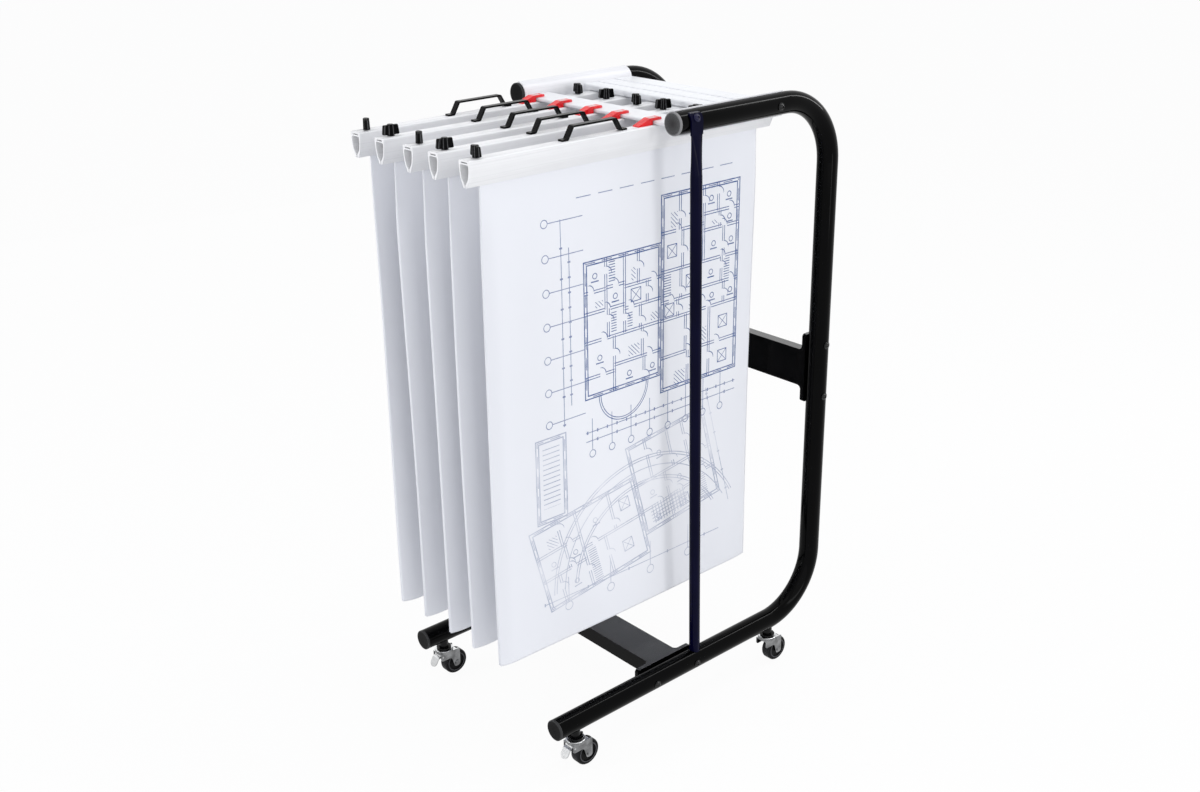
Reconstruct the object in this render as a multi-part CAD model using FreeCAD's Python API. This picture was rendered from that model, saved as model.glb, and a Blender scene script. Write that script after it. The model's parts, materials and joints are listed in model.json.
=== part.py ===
import FreeCAD, Part
import os
from math import atan2, cos, degrees, radians, sin, sqrt

# A mobile rack for large drawings. Two C-shaped tube frames on casters carry a front rail and
# a rear rail, and five clamps with A1 sheets hang from the rails side by side.
# Millimetres. X runs across the two side frames, -Y is the open loading front, Z is up.
# The model is laid out with the uprights' centre lines at Y = 0 and the floor at Z = 0, and
# every node is moved along Y at the end, so that the rack is centred on its origin.

# Side frames
TUBE_DIAMETER = 38.0
TUBE_WALL = 1.5
FRAME_SPAN = 394.0  # between the centre lines of the two side frames
FOOT_LENGTH = 655.0  # upright's centre line to the foot's open end
ARM_LENGTH = 380.0  # upright's centre line to the top arm's open end
FOOT_CLEARANCE = 78.5  # floor to the underside of the feet
ARM_RISE = 1006.0  # foot centre line to top arm centre line
BEND_RADIUS = 118.0  # centre line of both bends
CAP_FLANGE = 4.0
CAP_PLUG = 14.0
CAP_EDGE_ROUND = 1.2
GUARD_WALL = 2.0  # half-round covers on the inner side of the top arms
GUARD_FIT = 0.1
GUARD_END_GAP = 2.0  # guard's rear end to the rear rail's rear edge

# Cross-beams and their end plates
MID_BEAM_RISE = 494.0  # foot centre line to the middle beam's centre
MID_BEAM_HEIGHT = 72.0
MID_BEAM_DEPTH = 21.0
LOW_BEAM_SETBACK = 380.0  # upright's centre line to the lower beam's centre
LOW_BEAM_WIDTH = 68.0
LOW_BEAM_HEIGHT = 29.0
BEAM_WALL = 2.0
PLATE_LENGTH = 135.0
PLATE_THICKNESS = 5.0
SADDLE_DEPTH = 3.0  # how far each end plate wraps round its tube
PLATE_CORNER = 6.0
WELD_ROUND = 8.0  # concave round between beam and end plate

# Bolts
BOLT_SPACING = 102.0  # on every end plate
BOLT_RADIUS = 3.0
BOLT_FIT = 0.2
RAIL_BOLT_REACH = 14.0  # past the far side of the tube
BOLT_HEAD_RADIUS = 5.5
BOLT_HEAD_HEIGHT = 3.5
BOLT_SOCKET = 4.0  # hexagon socket across its flats
BOLT_SOCKET_DEPTH = 1.6
WASHER_RADIUS = 7.0
WASHER_THICKNESS = 1.2

# Rails
RAIL_DROP = 7.4  # arm centre line to the rails' undersides
FRONT_RAIL_DEPTH = 54.0
FRONT_RAIL_HEIGHT = 6.0
FRONT_RAIL_ROUND = 2.4
REAR_RAIL_DEPTH = 120.0
REAR_RAIL_HEIGHT = 11.0
REAR_RAIL_ROUND = 3.5
REAR_RAIL_WALL = 2.0
REAR_RAIL_CELL_ROUND = 1.0
REAR_RAIL_WEB = 12.0  # solid web that takes the rail bolt
REAR_RAIL_BOLT_INSET = 26.0  # rail's rear edge to the bolt
REAR_RAIL_BOLT_RISE = 6.4  # rail's underside to the bolt's centre
GROOVE_WIDTH = 5.0
GROOVE_DEPTH = 2.0
GROOVE_OFFSETS = (-28.0, 13.5)  # from the rear rail's centre

# Braces between the top arms and the feet
BRACE_DIAMETER = 20.0
BRACE_WALL = 1.2
BRACE_FOOT_SETBACK = 318.0
BRACE_ARM_INSET = 30.0  # arm's open end to the brace's lug
LUG_THICKNESS = 3.0
LUG_WIDTH = 26.0
LUG_WRAP = 48.0  # degrees of the arm that the lug covers above its widest line
LUG_BOLT_ANGLE = 22.0
LUG_CORNER = 4.0
LUG_NECK = 65.0  # length over which the round tube flattens
LUG_NECK_INSET = 0.1  # neck's ends inside the tube and the lug, all round
LUG_NECK_OVERLAP = 1.5  # neck's ends into the tube's plug and the lug
BRACE_PLUG = 4.0  # solid top end of the tube, under the neck
BRACE_BOLT_REACH = 9.0

# Casters
CASTER_FRONT_INSET = 43.0  # foot's open end to the front swivel axis
CASTER_REAR_SETBACK = 115.0  # upright's centre line to the rear swivel axis
WHEEL_RADIUS = 25.0
WHEEL_WIDTH = 20.0
WHEEL_ROUND = 4.0
WHEEL_RECESS = 1.5
TRAIL = 21.0  # swivel axis to axle
AXLE_RADIUS = 3.0
RUNNING_FIT = 0.08
STEM_RADIUS = 9.0
STEM_PIN_RADIUS = 5.0
STEM_PIN_REACH = 8.0
RACE_RADIUS = 18.0
RACE_TOP_RADIUS = 14.0
RACE_TOP_THICKNESS = 3.0
RACE_THICKNESS = 4.0
RACE_STEP = 1.0  # lower ring's radius under the upper ring's
RACE_ROUND = 1.6
RACE_GAP = 0.5
CROWN_OVER_WHEEL = 4.0
KINGPIN_RADIUS = 5.0
KINGPIN_HEAD_RADIUS = 7.5
KINGPIN_HEAD = 1.5
FORK_PLATE = 2.0
FORK_SIDE_GAP = 1.5
FORK_EYE_RADIUS = 6.5
FORK_EYE_FRONT_ROUND = 0.7  # share of the eye's radius
FORK_EYE_REAR_ROUND = 0.95
FORK_FRONT_ROUND = 4.0
FORK_HEEL_ROUND = 3.0
AXLE_HEAD_RADIUS = 5.0
AXLE_HEAD = 1.5
LEVER_PIVOT_SETBACK = 12.0  # in front of the swivel axis
LEVER_PIVOT_DROP = 4.5  # under the crown
LEVER_PIN_RADIUS = 2.0
LEVER_WIDTH = 18.0
LEVER_THICKNESS = 2.5
LEVER_ARM_REACH = 8.0  # pin to the bend, along Y
LEVER_ARM_DROP = 2.8
LEVER_TAB_LENGTH = 18.0
LEVER_TAB_SLOPE = 60.0  # degrees below level
LEVER_TAB_ROUND = 0.99  # corner radius as a share of half the tab's width

# Hanging clamps
CLAMP_COUNT = 5
CLAMP_PITCH = 71.6
CLAMP_LENGTH = 650.0
CLAMP_REACH = 750.0  # upright's centre line to the clamps' front ends
CLAMP_HEIGHT = 41.4
CLAMP_WIDTH = 26.0
CLAMP_SHOULDER_DROP = 15.0
CLAMP_SHOULDER_INSET = 0.6
CLAMP_WAIST_DROP = 28.0
CLAMP_WAIST_INSET = 3.0
CLAMP_LIP_WIDTH = 7.8
CLAMP_EDGE_ROUND = 3.0
CLAMP_SHOULDER_ROUND = 20.0
CLAMP_WAIST_ROUND = 16.0
CLAMP_LIP_ROUND = 1.5
CLAMP_WALL = 2.3
CLAMP_TOP_WALL = 3.45  # side wall beside the slot
CLAMP_INNER_EDGE_ROUND = 2.5
CLAMP_INNER_SHOULDER_ROUND = 8.0
CLAMP_INNER_WAIST_ROUND = 14.0
CLAMP_SHIFTS = (-3.0, -6.0, 0.0, -5.5, 0.0)  # from even spacing at rest, clamp 1 to 5
CLAMP_YAWS = (0.9, 0.0, 0.0, 0.0, 0.0)  # degrees at rest about the clamp's front end
CLAMP_UNDER_RAIL = 0.6  # gap between the clamps and the rails above
SLOT_HEIGHT = 2.0
SLOT_SKIN = 3.0
SLOT_WEB = 2.0
SLOT_SIDE_WALL = 5.6  # clamp's side to the slot
SLOT_ROUND = 0.8
RIB_GROOVE_WIDTH = 2.5
RIB_GROOVE_DEPTH = 1.0
RIB_GROOVE_OFFSET = 8.5

# Handles on the clamps
HANDLE_HOOK_GAP = 23.5  # handle's rear foot to the hook's toe
HANDLE_LENGTH = 133.0
HANDLE_RISE = 22.0
HANDLE_FOOT = 12.0
HANDLE_SLANT = 11.5
HANDLE_WIDTH = 11.0
HANDLE_THICKNESS = 3.0
HANDLE_BEND = 4.0

# Hooks on the clamps
HOOK_WIDTH = 14.0
HOOK_FOOT = 32.5  # length ahead of the front rail
HOOK_TAIL = 17.5  # length over the front rail
HOOK_CREST = 8.0  # length from the rail to the crest
HOOK_TOE = 1.6
HOOK_LIP = 4.2
HOOK_FIT = 0.3
HOOK_RISER_GAP = 2.0
HOOK_TOE_ROUND = 1.0
HOOK_CREST_ROUND = 6.0
HOOK_TIP_ROUND = 2.0

# Wing knobs on the clamps
KNOB_FRONT_SETBACK = 22.0  # clamp's front end to the front knob
KNOB_FRONT_RAIL_GAP = 48.0  # front rail's rear edge to the rear knob
KNOB_REAR_RAIL_GAP = 34.0  # rear knob to the rear rail's front edge
KNOB_WIDTH = 28.5  # wing's length at its foot
KNOB_TOP_WIDTH = 25.5
KNOB_THICKNESS = 9.0
KNOB_TOP_THICKNESS = 7.0
KNOB_WING_LIFT = 2.4  # clamp's top to the wing's underside
KNOB_WING_TOP = 17.6
KNOB_HUB_RADIUS = 5.75
KNOB_HUB_TOP_RADIUS = 5.0
KNOB_HUB_ROUND = 0.6
KNOB_HEIGHT = 18.6  # clamp's top to the hub's top
KNOB_LIFT = 0.7  # clamp's top to the hub's underside
KNOB_CORNER = 3.0
KNOB_EDGE_ROUND = 1.8
KNOB_GROOVES = 3  # on each face of each wing
KNOB_GROOVE_RADIUS = 0.7
KNOB_GROOVE_STEP = 2.1
KNOB_STUD_RADIUS = 2.5
FRONT_KNOB_TURNS = (150.0, 82.0, 150.0, 80.0, 165.0)  # degrees from +X, clamp 1 to 5
REAR_KNOB_TURNS = (163.0, 63.0, 161.0, 61.0, 70.0)

# Sheets of drawings, A1 upright
SHEET_WIDTH = 594.0
SHEET_HEIGHT = 841.0
SHEET_STACK = 2.4
SHEET_GRIP = 14.5  # length of sheet inside the clamp
SHEET_FORWARD = 3.0  # sheet's centre ahead of the clamp's centre

# Positions that follow from the values above
TUBE_RADIUS = TUBE_DIAMETER / 2
HALF_SPAN = FRAME_SPAN / 2
FOOT_Z = FOOT_CLEARANCE + TUBE_RADIUS
ARM_Z = FOOT_Z + ARM_RISE
MID_BEAM_Z = FOOT_Z + MID_BEAM_RISE
RAIL_BASE = ARM_Z - RAIL_DROP
CLAMP_TOP = RAIL_BASE - CLAMP_UNDER_RAIL
CLAMP_BASE = CLAMP_TOP - CLAMP_HEIGHT
CLAMP_FRONT = -CLAMP_REACH
FRONT_RAIL_SETBACK = ARM_LENGTH - FRONT_RAIL_DEPTH / 2  # flush with the arms' open ends
REAR_KNOB_SETBACK = FRONT_RAIL_SETBACK - FRONT_RAIL_DEPTH / 2 - KNOB_FRONT_RAIL_GAP
KNOB_SPACING = CLAMP_REACH - KNOB_FRONT_SETBACK - REAR_KNOB_SETBACK
REAR_RAIL_SETBACK = REAR_KNOB_SETBACK - KNOB_REAR_RAIL_GAP - REAR_RAIL_DEPTH / 2
REAR_RAIL_BOLT_SETBACK = REAR_RAIL_SETBACK - REAR_RAIL_DEPTH / 2 + REAR_RAIL_BOLT_INSET
BRACE_TOP_SETBACK = ARM_LENGTH - BRACE_ARM_INSET
HANDLE_REACH = ARM_LENGTH + HOOK_FOOT + HANDLE_HOOK_GAP + HANDLE_LENGTH
HANDLE_SETBACK = CLAMP_REACH - HANDLE_REACH  # clamp's front end to the handle's front foot
GUARD_OUTER = TUBE_RADIUS + GUARD_FIT + GUARD_WALL
GUARD_END = REAR_RAIL_DEPTH / 2 - REAR_RAIL_SETBACK - GUARD_END_GAP
PLATE_FACE = HALF_SPAN - TUBE_RADIUS - PLATE_THICKNESS  # beam side of each end plate
CASTER_ROWS = {
    "front": CASTER_FRONT_INSET - FOOT_LENGTH,
    "rear": -CASTER_REAR_SETBACK,
}
CROWN_Z = 2 * WHEEL_RADIUS + CROWN_OVER_WHEEL
SIDES = {"left": -1, "right": 1}
MOVE_TO_ORIGIN = FreeCAD.Vector(0, (CLAMP_REACH - TUBE_RADIUS) / 2, 0)

X_AXIS = FreeCAD.Vector(1, 0, 0)
Y_AXIS = FreeCAD.Vector(0, 1, 0)
Z_AXIS = FreeCAD.Vector(0, 0, 1)


def vec(x, y, z):
    return FreeCAD.Vector(x, y, z)


def in_xz(u, v):
    return vec(u, 0, v)


def in_yz(u, v):
    return vec(0, u, v)


def in_xy(u, v):
    return vec(u, v, 0)


def rod(radius, start, end):
    """A solid cylinder from one point to another."""
    return Part.makeCylinder(radius, (end - start).Length, start, end - start)


def block(low, high):
    """A box between two opposite corners."""
    size = high - low
    return Part.makeBox(size.x, size.y, size.z, low)


def mirrored(shape, side):
    """The shape as drawn for the right side, or its mirror image for the left."""
    if side > 0:
        return shape
    return shape.mirror(vec(0, 0, 0), X_AXIS)


def rounded_wire(corners, plane):
    """A closed outline through corners (u, v, radius), each rounded by a tangent arc."""
    points = [plane(u, v) for u, v, _ in corners]
    edges = []
    ends = []
    for i, point in enumerate(points):
        radius = corners[i][2]
        to_last = (points[i - 1] - point).normalize()
        to_next = (points[(i + 1) % len(points)] - point).normalize()
        if radius == 0:
            ends.append((point, point))
            continue
        half = to_last.getAngle(to_next) / 2
        reach = radius * cos(half) / sin(half)
        middle = (to_last + to_next).normalize() * (radius / sin(half) - radius)
        start = point + to_last * reach
        end = point + to_next * reach
        edges.append(Part.Arc(start, point + middle, end).toShape())
        ends.append((start, end))
    for i, (_, leaving) in enumerate(ends):
        arriving = ends[(i + 1) % len(ends)][0]
        if (arriving - leaving).Length > 1e-6:
            edges.append(Part.makeLine(leaving, arriving))
    return Part.Wire(Part.sortEdges(edges)[0])


def prism(corners, plane, start, length):
    """A solid with a rounded outline in one plane, run out from start along the third axis."""
    along = {in_xz: Y_AXIS, in_yz: X_AXIS, in_xy: Z_AXIS}[plane]
    face = Part.Face(rounded_wire(corners, plane))
    face.translate(along * start)
    return face.extrude(along * length)


def symmetric(half):
    """Outline corners for a shape that is mirrored about u = 0, from its right half."""
    return half + [(-u, v, radius) for u, v, radius in reversed(half)]


def rectangle(u0, v0, u1, v1, radius=0.0):
    return [(u0, v0, radius), (u1, v0, radius), (u1, v1, radius), (u0, v1, radius)]


def save(name, shape):
    """Moves a finished sub-part to the rack's own origin and writes it."""
    placed = shape.copy()
    placed.translate(MOVE_TO_ORIGIN)
    placed.exportStep("parts/" + name + ".step")
    print(name, len(placed.Solids), round(placed.Volume, 1), placed.isValid())


# Side frames


def frame_path():
    """The centre line of the right side frame, from the foot's open end to the arm's."""
    lower = vec(HALF_SPAN, -BEND_RADIUS, FOOT_Z)
    upper = vec(HALF_SPAN, -BEND_RADIUS, ARM_Z)
    turn = BEND_RADIUS / sqrt(2)
    low_centre = vec(HALF_SPAN, -BEND_RADIUS, FOOT_Z + BEND_RADIUS)
    high_centre = vec(HALF_SPAN, -BEND_RADIUS, ARM_Z - BEND_RADIUS)
    low_end = vec(HALF_SPAN, 0, FOOT_Z + BEND_RADIUS)
    high_end = vec(HALF_SPAN, 0, ARM_Z - BEND_RADIUS)
    edges = [
        Part.makeLine(vec(HALF_SPAN, -FOOT_LENGTH, FOOT_Z), lower),
        Part.Arc(lower, low_centre + vec(0, turn, -turn), low_end).toShape(),
        Part.makeLine(low_end, high_end),
        Part.Arc(high_end, high_centre + vec(0, turn, turn), upper).toShape(),
        Part.makeLine(upper, vec(HALF_SPAN, -ARM_LENGTH, ARM_Z)),
    ]
    return Part.Wire(edges)


def bent_bar(radius):
    """A round bar along the right side frame's centre line."""
    start = vec(HALF_SPAN, -FOOT_LENGTH, FOOT_Z)
    ring = Part.Wire(Part.makeCircle(radius, start, Y_AXIS))
    return frame_path().makePipe(Part.Face(ring))


FRAME_BAR = bent_bar(TUBE_RADIUS)


def through_bolt_places():
    """Y and Z of each bolt across the right side frame, and its reach past the tube."""
    half = BOLT_SPACING / 2
    return [
        (0, MID_BEAM_Z - half, PLATE_THICKNESS),
        (0, MID_BEAM_Z + half, PLATE_THICKNESS),
        (-LOW_BEAM_SETBACK - half, FOOT_Z, PLATE_THICKNESS),
        (-LOW_BEAM_SETBACK + half, FOOT_Z, PLATE_THICKNESS),
        (-REAR_RAIL_BOLT_SETBACK, RAIL_BASE + REAR_RAIL_BOLT_RISE, RAIL_BOLT_REACH),
    ]


def bolt_holes():
    """Clearance holes for every bolt through the right side frame, in one group."""
    outer = HALF_SPAN + TUBE_DIAMETER
    radius = BOLT_RADIUS + BOLT_FIT
    holes = []
    for y, z, reach in through_bolt_places():
        inner = HALF_SPAN - TUBE_RADIUS - reach
        holes.append(rod(radius, vec(inner, y, z), vec(outer, y, z)))
    return holes


def lug_bolt_line():
    """Origin on the arm's centre line and outward direction of the brace's bolt."""
    angle = radians(LUG_BOLT_ANGLE)
    return vec(HALF_SPAN, -BRACE_TOP_SETBACK, ARM_Z), vec(cos(angle), 0, sin(angle))


def lug_bolt_hole():
    origin, outward = lug_bolt_line()
    radius = BOLT_RADIUS + BOLT_FIT
    inner = TUBE_RADIUS - BRACE_BOLT_REACH
    return rod(radius, origin + outward * inner, origin + outward * TUBE_DIAMETER)


def side_frame():
    tube = FRAME_BAR.cut(bent_bar(TUBE_RADIUS - TUBE_WALL))
    cuts = bolt_holes() + [lug_bolt_hole()]
    for y in CASTER_ROWS.values():
        top = FOOT_Z - TUBE_RADIUS + STEM_PIN_REACH
        cuts.append(rod(STEM_PIN_RADIUS, vec(HALF_SPAN, y, 0), vec(HALF_SPAN, y, top)))
    return tube.cut(cuts)


def end_cap(y_end, z):
    """A plug with a rounded flange that closes a tube's open end."""
    rim = vec(HALF_SPAN, y_end, z)
    flange = rod(TUBE_RADIUS, rim, rim - vec(0, CAP_FLANGE, 0))
    front = [e for e in flange.Edges if abs(e.CenterOfMass.y - (y_end - CAP_FLANGE)) < 1e-6]
    flange = flange.makeFillet(CAP_EDGE_ROUND, front)
    plug = rod(TUBE_RADIUS - TUBE_WALL, rim, rim + Y_AXIS * CAP_PLUG)
    return flange.fuse(plug).removeSplitter()


def arm_guard():
    """A half-round cover over the inner half of the top arm."""
    start = vec(HALF_SPAN, -ARM_LENGTH, ARM_Z)
    end = vec(HALF_SPAN, GUARD_END, ARM_Z)
    shell = rod(GUARD_OUTER, start, end).cut(bent_bar(TUBE_RADIUS + GUARD_FIT))
    keep = block(start - vec(GUARD_OUTER, 0, GUARD_OUTER), end + vec(0, 0, GUARD_OUTER))
    return shell.common(keep).cut(bolt_holes())


# Cross-beams


def weld_rounds(half_width, axis_plane, start, length):
    """Concave rounds on both edges of a beam where it meets the right end plate."""
    rounds = []
    for sign in (-1, 1):
        edge = sign * half_width
        corner = rectangle(PLATE_FACE - WELD_ROUND, edge, PLATE_FACE, edge + sign * WELD_ROUND)
        centre = (PLATE_FACE - WELD_ROUND, edge + sign * WELD_ROUND)
        along = Y_AXIS if axis_plane is in_xz else Z_AXIS
        foot = axis_plane(*centre) + along * start
        hollow = rod(WELD_ROUND, foot, foot + along * length)
        rounds.append(prism(corner, axis_plane, start, length).cut(hollow))
    return rounds


def beam_with_plates(beam, inner, plate, rounds, centre):
    """Joins a hollow beam to its two end plates and cuts the saddles and bolt holes."""
    shape = beam.cut(inner)
    for side in SIDES.values():
        shape = shape.fuse([mirrored(piece, side) for piece in [plate] + rounds])
    shape.translate(centre)
    for side in SIDES.values():
        shape = shape.cut([mirrored(piece, side) for piece in [FRAME_BAR] + bolt_holes()])
    return shape.removeSplitter()


def mid_beam():
    """The beam between the uprights, flush with the front of their tubes."""
    front = -TUBE_RADIUS
    back = front + MID_BEAM_DEPTH
    half = MID_BEAM_HEIGHT / 2
    beam = block(vec(-PLATE_FACE, front, -half), vec(PLATE_FACE, back, half))
    inner = block(
        vec(-PLATE_FACE, front + BEAM_WALL, BEAM_WALL - half),
        vec(PLATE_FACE, back - BEAM_WALL, half - BEAM_WALL),
    )
    outline = rectangle(
        -TUBE_RADIUS, -PLATE_LENGTH / 2, TUBE_RADIUS, PLATE_LENGTH / 2, PLATE_CORNER
    )
    plate = prism(outline, in_yz, PLATE_FACE, PLATE_THICKNESS + SADDLE_DEPTH)
    rounds = weld_rounds(half, in_xz, front, MID_BEAM_DEPTH)
    return beam_with_plates(beam, inner, plate, rounds, vec(0, 0, MID_BEAM_Z))


def low_beam():
    """The beam between the feet, its top level with the tops of their tubes."""
    top = TUBE_RADIUS
    base = top - LOW_BEAM_HEIGHT
    half = LOW_BEAM_WIDTH / 2
    beam = block(vec(-PLATE_FACE, -half, base), vec(PLATE_FACE, half, top))
    inner = block(
        vec(-PLATE_FACE, BEAM_WALL - half, base + BEAM_WALL),
        vec(PLATE_FACE, half - BEAM_WALL, top - BEAM_WALL),
    )
    outline = rectangle(
        -PLATE_LENGTH / 2, -TUBE_RADIUS, PLATE_LENGTH / 2, TUBE_RADIUS, PLATE_CORNER
    )
    plate = prism(outline, in_yz, PLATE_FACE, PLATE_THICKNESS + SADDLE_DEPTH)
    rounds = weld_rounds(half, in_xy, base, LOW_BEAM_HEIGHT)
    return beam_with_plates(beam, inner, plate, rounds, vec(0, -LOW_BEAM_SETBACK, FOOT_Z))


# Rails


def guarded_arms():
    """Both arms with their guards on, as solid bars that the rails' ends fit against."""
    start = vec(HALF_SPAN, -ARM_LENGTH, ARM_Z)
    right = rod(GUARD_OUTER, start, vec(HALF_SPAN, 0, ARM_Z))
    return [mirrored(right, side) for side in SIDES.values()]


def front_rail():
    """The flat bar that carries the clamps' hooks."""
    half = FRONT_RAIL_DEPTH / 2
    outline = rectangle(-half, 0, half, FRONT_RAIL_HEIGHT, FRONT_RAIL_ROUND)
    bar = prism(outline, in_yz, -HALF_SPAN, FRAME_SPAN)
    bar.translate(vec(0, -FRONT_RAIL_SETBACK, RAIL_BASE))
    return bar.cut(guarded_arms())


def rear_rail_hollows():
    """The rail's hollow cells in YZ. Its floor stays solid under both grooves and the bolt."""
    web = REAR_RAIL_SETBACK - REAR_RAIL_BOLT_SETBACK
    solid = [(offset, GROOVE_WIDTH + 2 * REAR_RAIL_WALL) for offset in GROOVE_OFFSETS]
    solid.append((web, REAR_RAIL_WEB))
    cells = []
    start = REAR_RAIL_WALL - REAR_RAIL_DEPTH / 2
    for centre, width in sorted(solid):
        cells.append((start, centre - width / 2))
        start = centre + width / 2
    cells.append((start, REAR_RAIL_DEPTH / 2 - REAR_RAIL_WALL))
    low = REAR_RAIL_WALL
    high = REAR_RAIL_HEIGHT - REAR_RAIL_WALL
    return [rectangle(first, low, last, high, REAR_RAIL_CELL_ROUND) for first, last in cells]


def rear_rail():
    """The wide grooved extrusion that the clamps' rear ends push up against."""
    half = REAR_RAIL_DEPTH / 2
    outline = rectangle(-half, 0, half, REAR_RAIL_HEIGHT, REAR_RAIL_ROUND)
    shape = prism(outline, in_yz, -HALF_SPAN, FRAME_SPAN)
    cuts = [prism(cell, in_yz, -HALF_SPAN, FRAME_SPAN) for cell in rear_rail_hollows()]
    for offset in GROOVE_OFFSETS:
        low = vec(-HALF_SPAN, offset - GROOVE_WIDTH / 2, REAR_RAIL_HEIGHT - GROOVE_DEPTH)
        cuts.append(block(low, vec(HALF_SPAN, offset + GROOVE_WIDTH / 2, REAR_RAIL_HEIGHT)))
    shape = shape.cut(cuts)
    shape.translate(vec(0, -REAR_RAIL_SETBACK, RAIL_BASE))
    shape = shape.cut(guarded_arms())
    for side in SIDES.values():
        shape = shape.cut([mirrored(hole, side) for hole in bolt_holes()])
    return shape


# Braces


def brace():
    """A slim tube from the top of the foot to a flattened lug on the arm's outer side."""
    lug_x = HALF_SPAN + TUBE_RADIUS + LUG_THICKNESS / 2
    lug_base = ARM_Z - TUBE_RADIUS
    neck_base = lug_base - LUG_NECK
    foot = vec(HALF_SPAN, -BRACE_FOOT_SETBACK, FOOT_Z)
    head = vec(lug_x, -BRACE_TOP_SETBACK, neck_base)
    lean = (head - foot).normalize()
    tube_half = BRACE_DIAMETER / 2
    tube = rod(tube_half, foot, head)
    tube = tube.cut(rod(tube_half - BRACE_WALL, foot - lean, head - lean * BRACE_PLUG))
    tube = tube.cut(FRAME_BAR)
    flat = vec(lug_x, -BRACE_TOP_SETBACK, lug_base)
    round_half = tube_half - LUG_NECK_INSET
    half = LUG_WIDTH / 2
    flat_half = LUG_THICKNESS / 2 - LUG_NECK_INSET
    into = Z_AXIS * LUG_NECK_OVERLAP
    round_end = oval(head - into, round_half, round_half)
    flat_end = oval(flat + into, half - LUG_NECK_INSET, flat_half)
    neck = Part.makeLoft([round_end, flat_end], True)
    low = vec(HALF_SPAN + TUBE_RADIUS, -BRACE_TOP_SETBACK - half, lug_base)
    high = vec(HALF_SPAN + TUBE_RADIUS + LUG_THICKNESS, -BRACE_TOP_SETBACK + half, ARM_Z)
    body = tube.fuse([neck, block(low, high), lug()])
    return body.cut(lug_bolt_hole()).removeSplitter()


def oval(centre, half_y, half_x):
    """A level ellipse whose long axis lies along Y."""
    ellipse = Part.Ellipse(centre, half_y, half_x)
    ellipse.AngleXU = radians(90)
    return Part.Wire(ellipse.toShape())


def lug():
    """The lug's curved end, wrapped on the arm, with rounded top corners."""
    half = LUG_WIDTH / 2
    origin = vec(HALF_SPAN, -BRACE_TOP_SETBACK - half, ARM_Z)
    far = origin + vec(0, LUG_WIDTH, 0)
    radius = TUBE_RADIUS + LUG_THICKNESS
    top = radius * sin(radians(LUG_WRAP))
    outline = [
        (-half, 0, 0),
        (half, 0, 0),
        (half, top, LUG_CORNER),
        (-half, top, LUG_CORNER),
    ]
    keep = prism(outline, in_yz, HALF_SPAN, radius)
    keep.translate(vec(0, -BRACE_TOP_SETBACK, ARM_Z))
    return rod(radius, origin, far).cut(rod(TUBE_RADIUS, origin, far)).common(keep)


# Bolts


def hexagon(centre, outward, across_flats, depth):
    """A six-sided prism about a line along outward, with a corner towards +Y."""
    radius = across_flats / sqrt(3)
    aside = outward.cross(Y_AXIS)
    turns = [radians(60 * i) for i in range(7)]
    corners = [centre + Y_AXIS * (radius * cos(a)) + aside * (radius * sin(a)) for a in turns]
    return Part.Face(Part.makePolygon(corners)).extrude(outward * depth)


def bolt(seat, outward, length):
    """A domed socket bolt on a washer. seat is the point under the washer, on its axis."""
    washer = rod(WASHER_RADIUS, seat, seat + outward * WASHER_THICKNESS)
    sphere_radius = (BOLT_HEAD_RADIUS**2 + BOLT_HEAD_HEIGHT**2) / (2 * BOLT_HEAD_HEIGHT)
    under_head = seat + outward * WASHER_THICKNESS
    centre = under_head + outward * (BOLT_HEAD_HEIGHT - sphere_radius)
    ball = Part.makeSphere(sphere_radius, centre)
    dome = ball.common(rod(BOLT_HEAD_RADIUS, under_head, under_head + outward * sphere_radius))
    shank = rod(BOLT_RADIUS, under_head, seat - outward * length)
    socket_base = under_head + outward * (BOLT_HEAD_HEIGHT - BOLT_SOCKET_DEPTH)
    socket = hexagon(socket_base, outward, BOLT_SOCKET, BOLT_HEAD_HEIGHT)
    return washer.fuse([dome, shank]).removeSplitter().cut(socket)


def frame_bolts():
    bolts = []
    for y, z, reach in through_bolt_places():
        length = TUBE_DIAMETER + reach - BOLT_FIT
        right = bolt(vec(HALF_SPAN + TUBE_RADIUS, y, z), X_AXIS, length)
        bolts += [mirrored(right, side) for side in SIDES.values()]
    return Part.makeCompound(bolts)


def brace_bolts():
    origin, outward = lug_bolt_line()
    seat = origin + outward * (TUBE_RADIUS + LUG_THICKNESS)
    right = bolt(seat, outward, LUG_THICKNESS + BRACE_BOLT_REACH - BOLT_FIT)
    return Part.makeCompound([mirrored(right, side) for side in SIDES.values()])


# Casters, drawn with the swivel axis on the Z axis and the wheel trailing to the rear


def caster_stem(foot_place):
    """The fixed half: pin in the foot, stem, upper race plate and riveted king pin."""
    race_base = CROWN_Z + 2 * RACE_THICKNESS + RACE_GAP
    race_top = race_base + RACE_TOP_THICKNESS
    top = FOOT_CLEARANCE + TUBE_RADIUS
    stem = rod(STEM_RADIUS, vec(0, 0, race_top), vec(0, 0, top))
    stem.translate(foot_place)
    stem = stem.cut(FRAME_BAR)
    pin = rod(STEM_PIN_RADIUS, vec(0, 0, race_top), vec(0, 0, FOOT_CLEARANCE + STEM_PIN_REACH))
    plate = rod(RACE_TOP_RADIUS, vec(0, 0, race_base), vec(0, 0, race_top))
    rivet_top = CROWN_Z - RACE_GAP
    king = rod(KINGPIN_RADIUS, vec(0, 0, rivet_top), vec(0, 0, race_base))
    rivet = rod(KINGPIN_HEAD_RADIUS, vec(0, 0, rivet_top - KINGPIN_HEAD), vec(0, 0, rivet_top))
    lower = plate.fuse([king, rivet, pin])
    lower.translate(foot_place)
    return stem.fuse(lower).removeSplitter()


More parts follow.
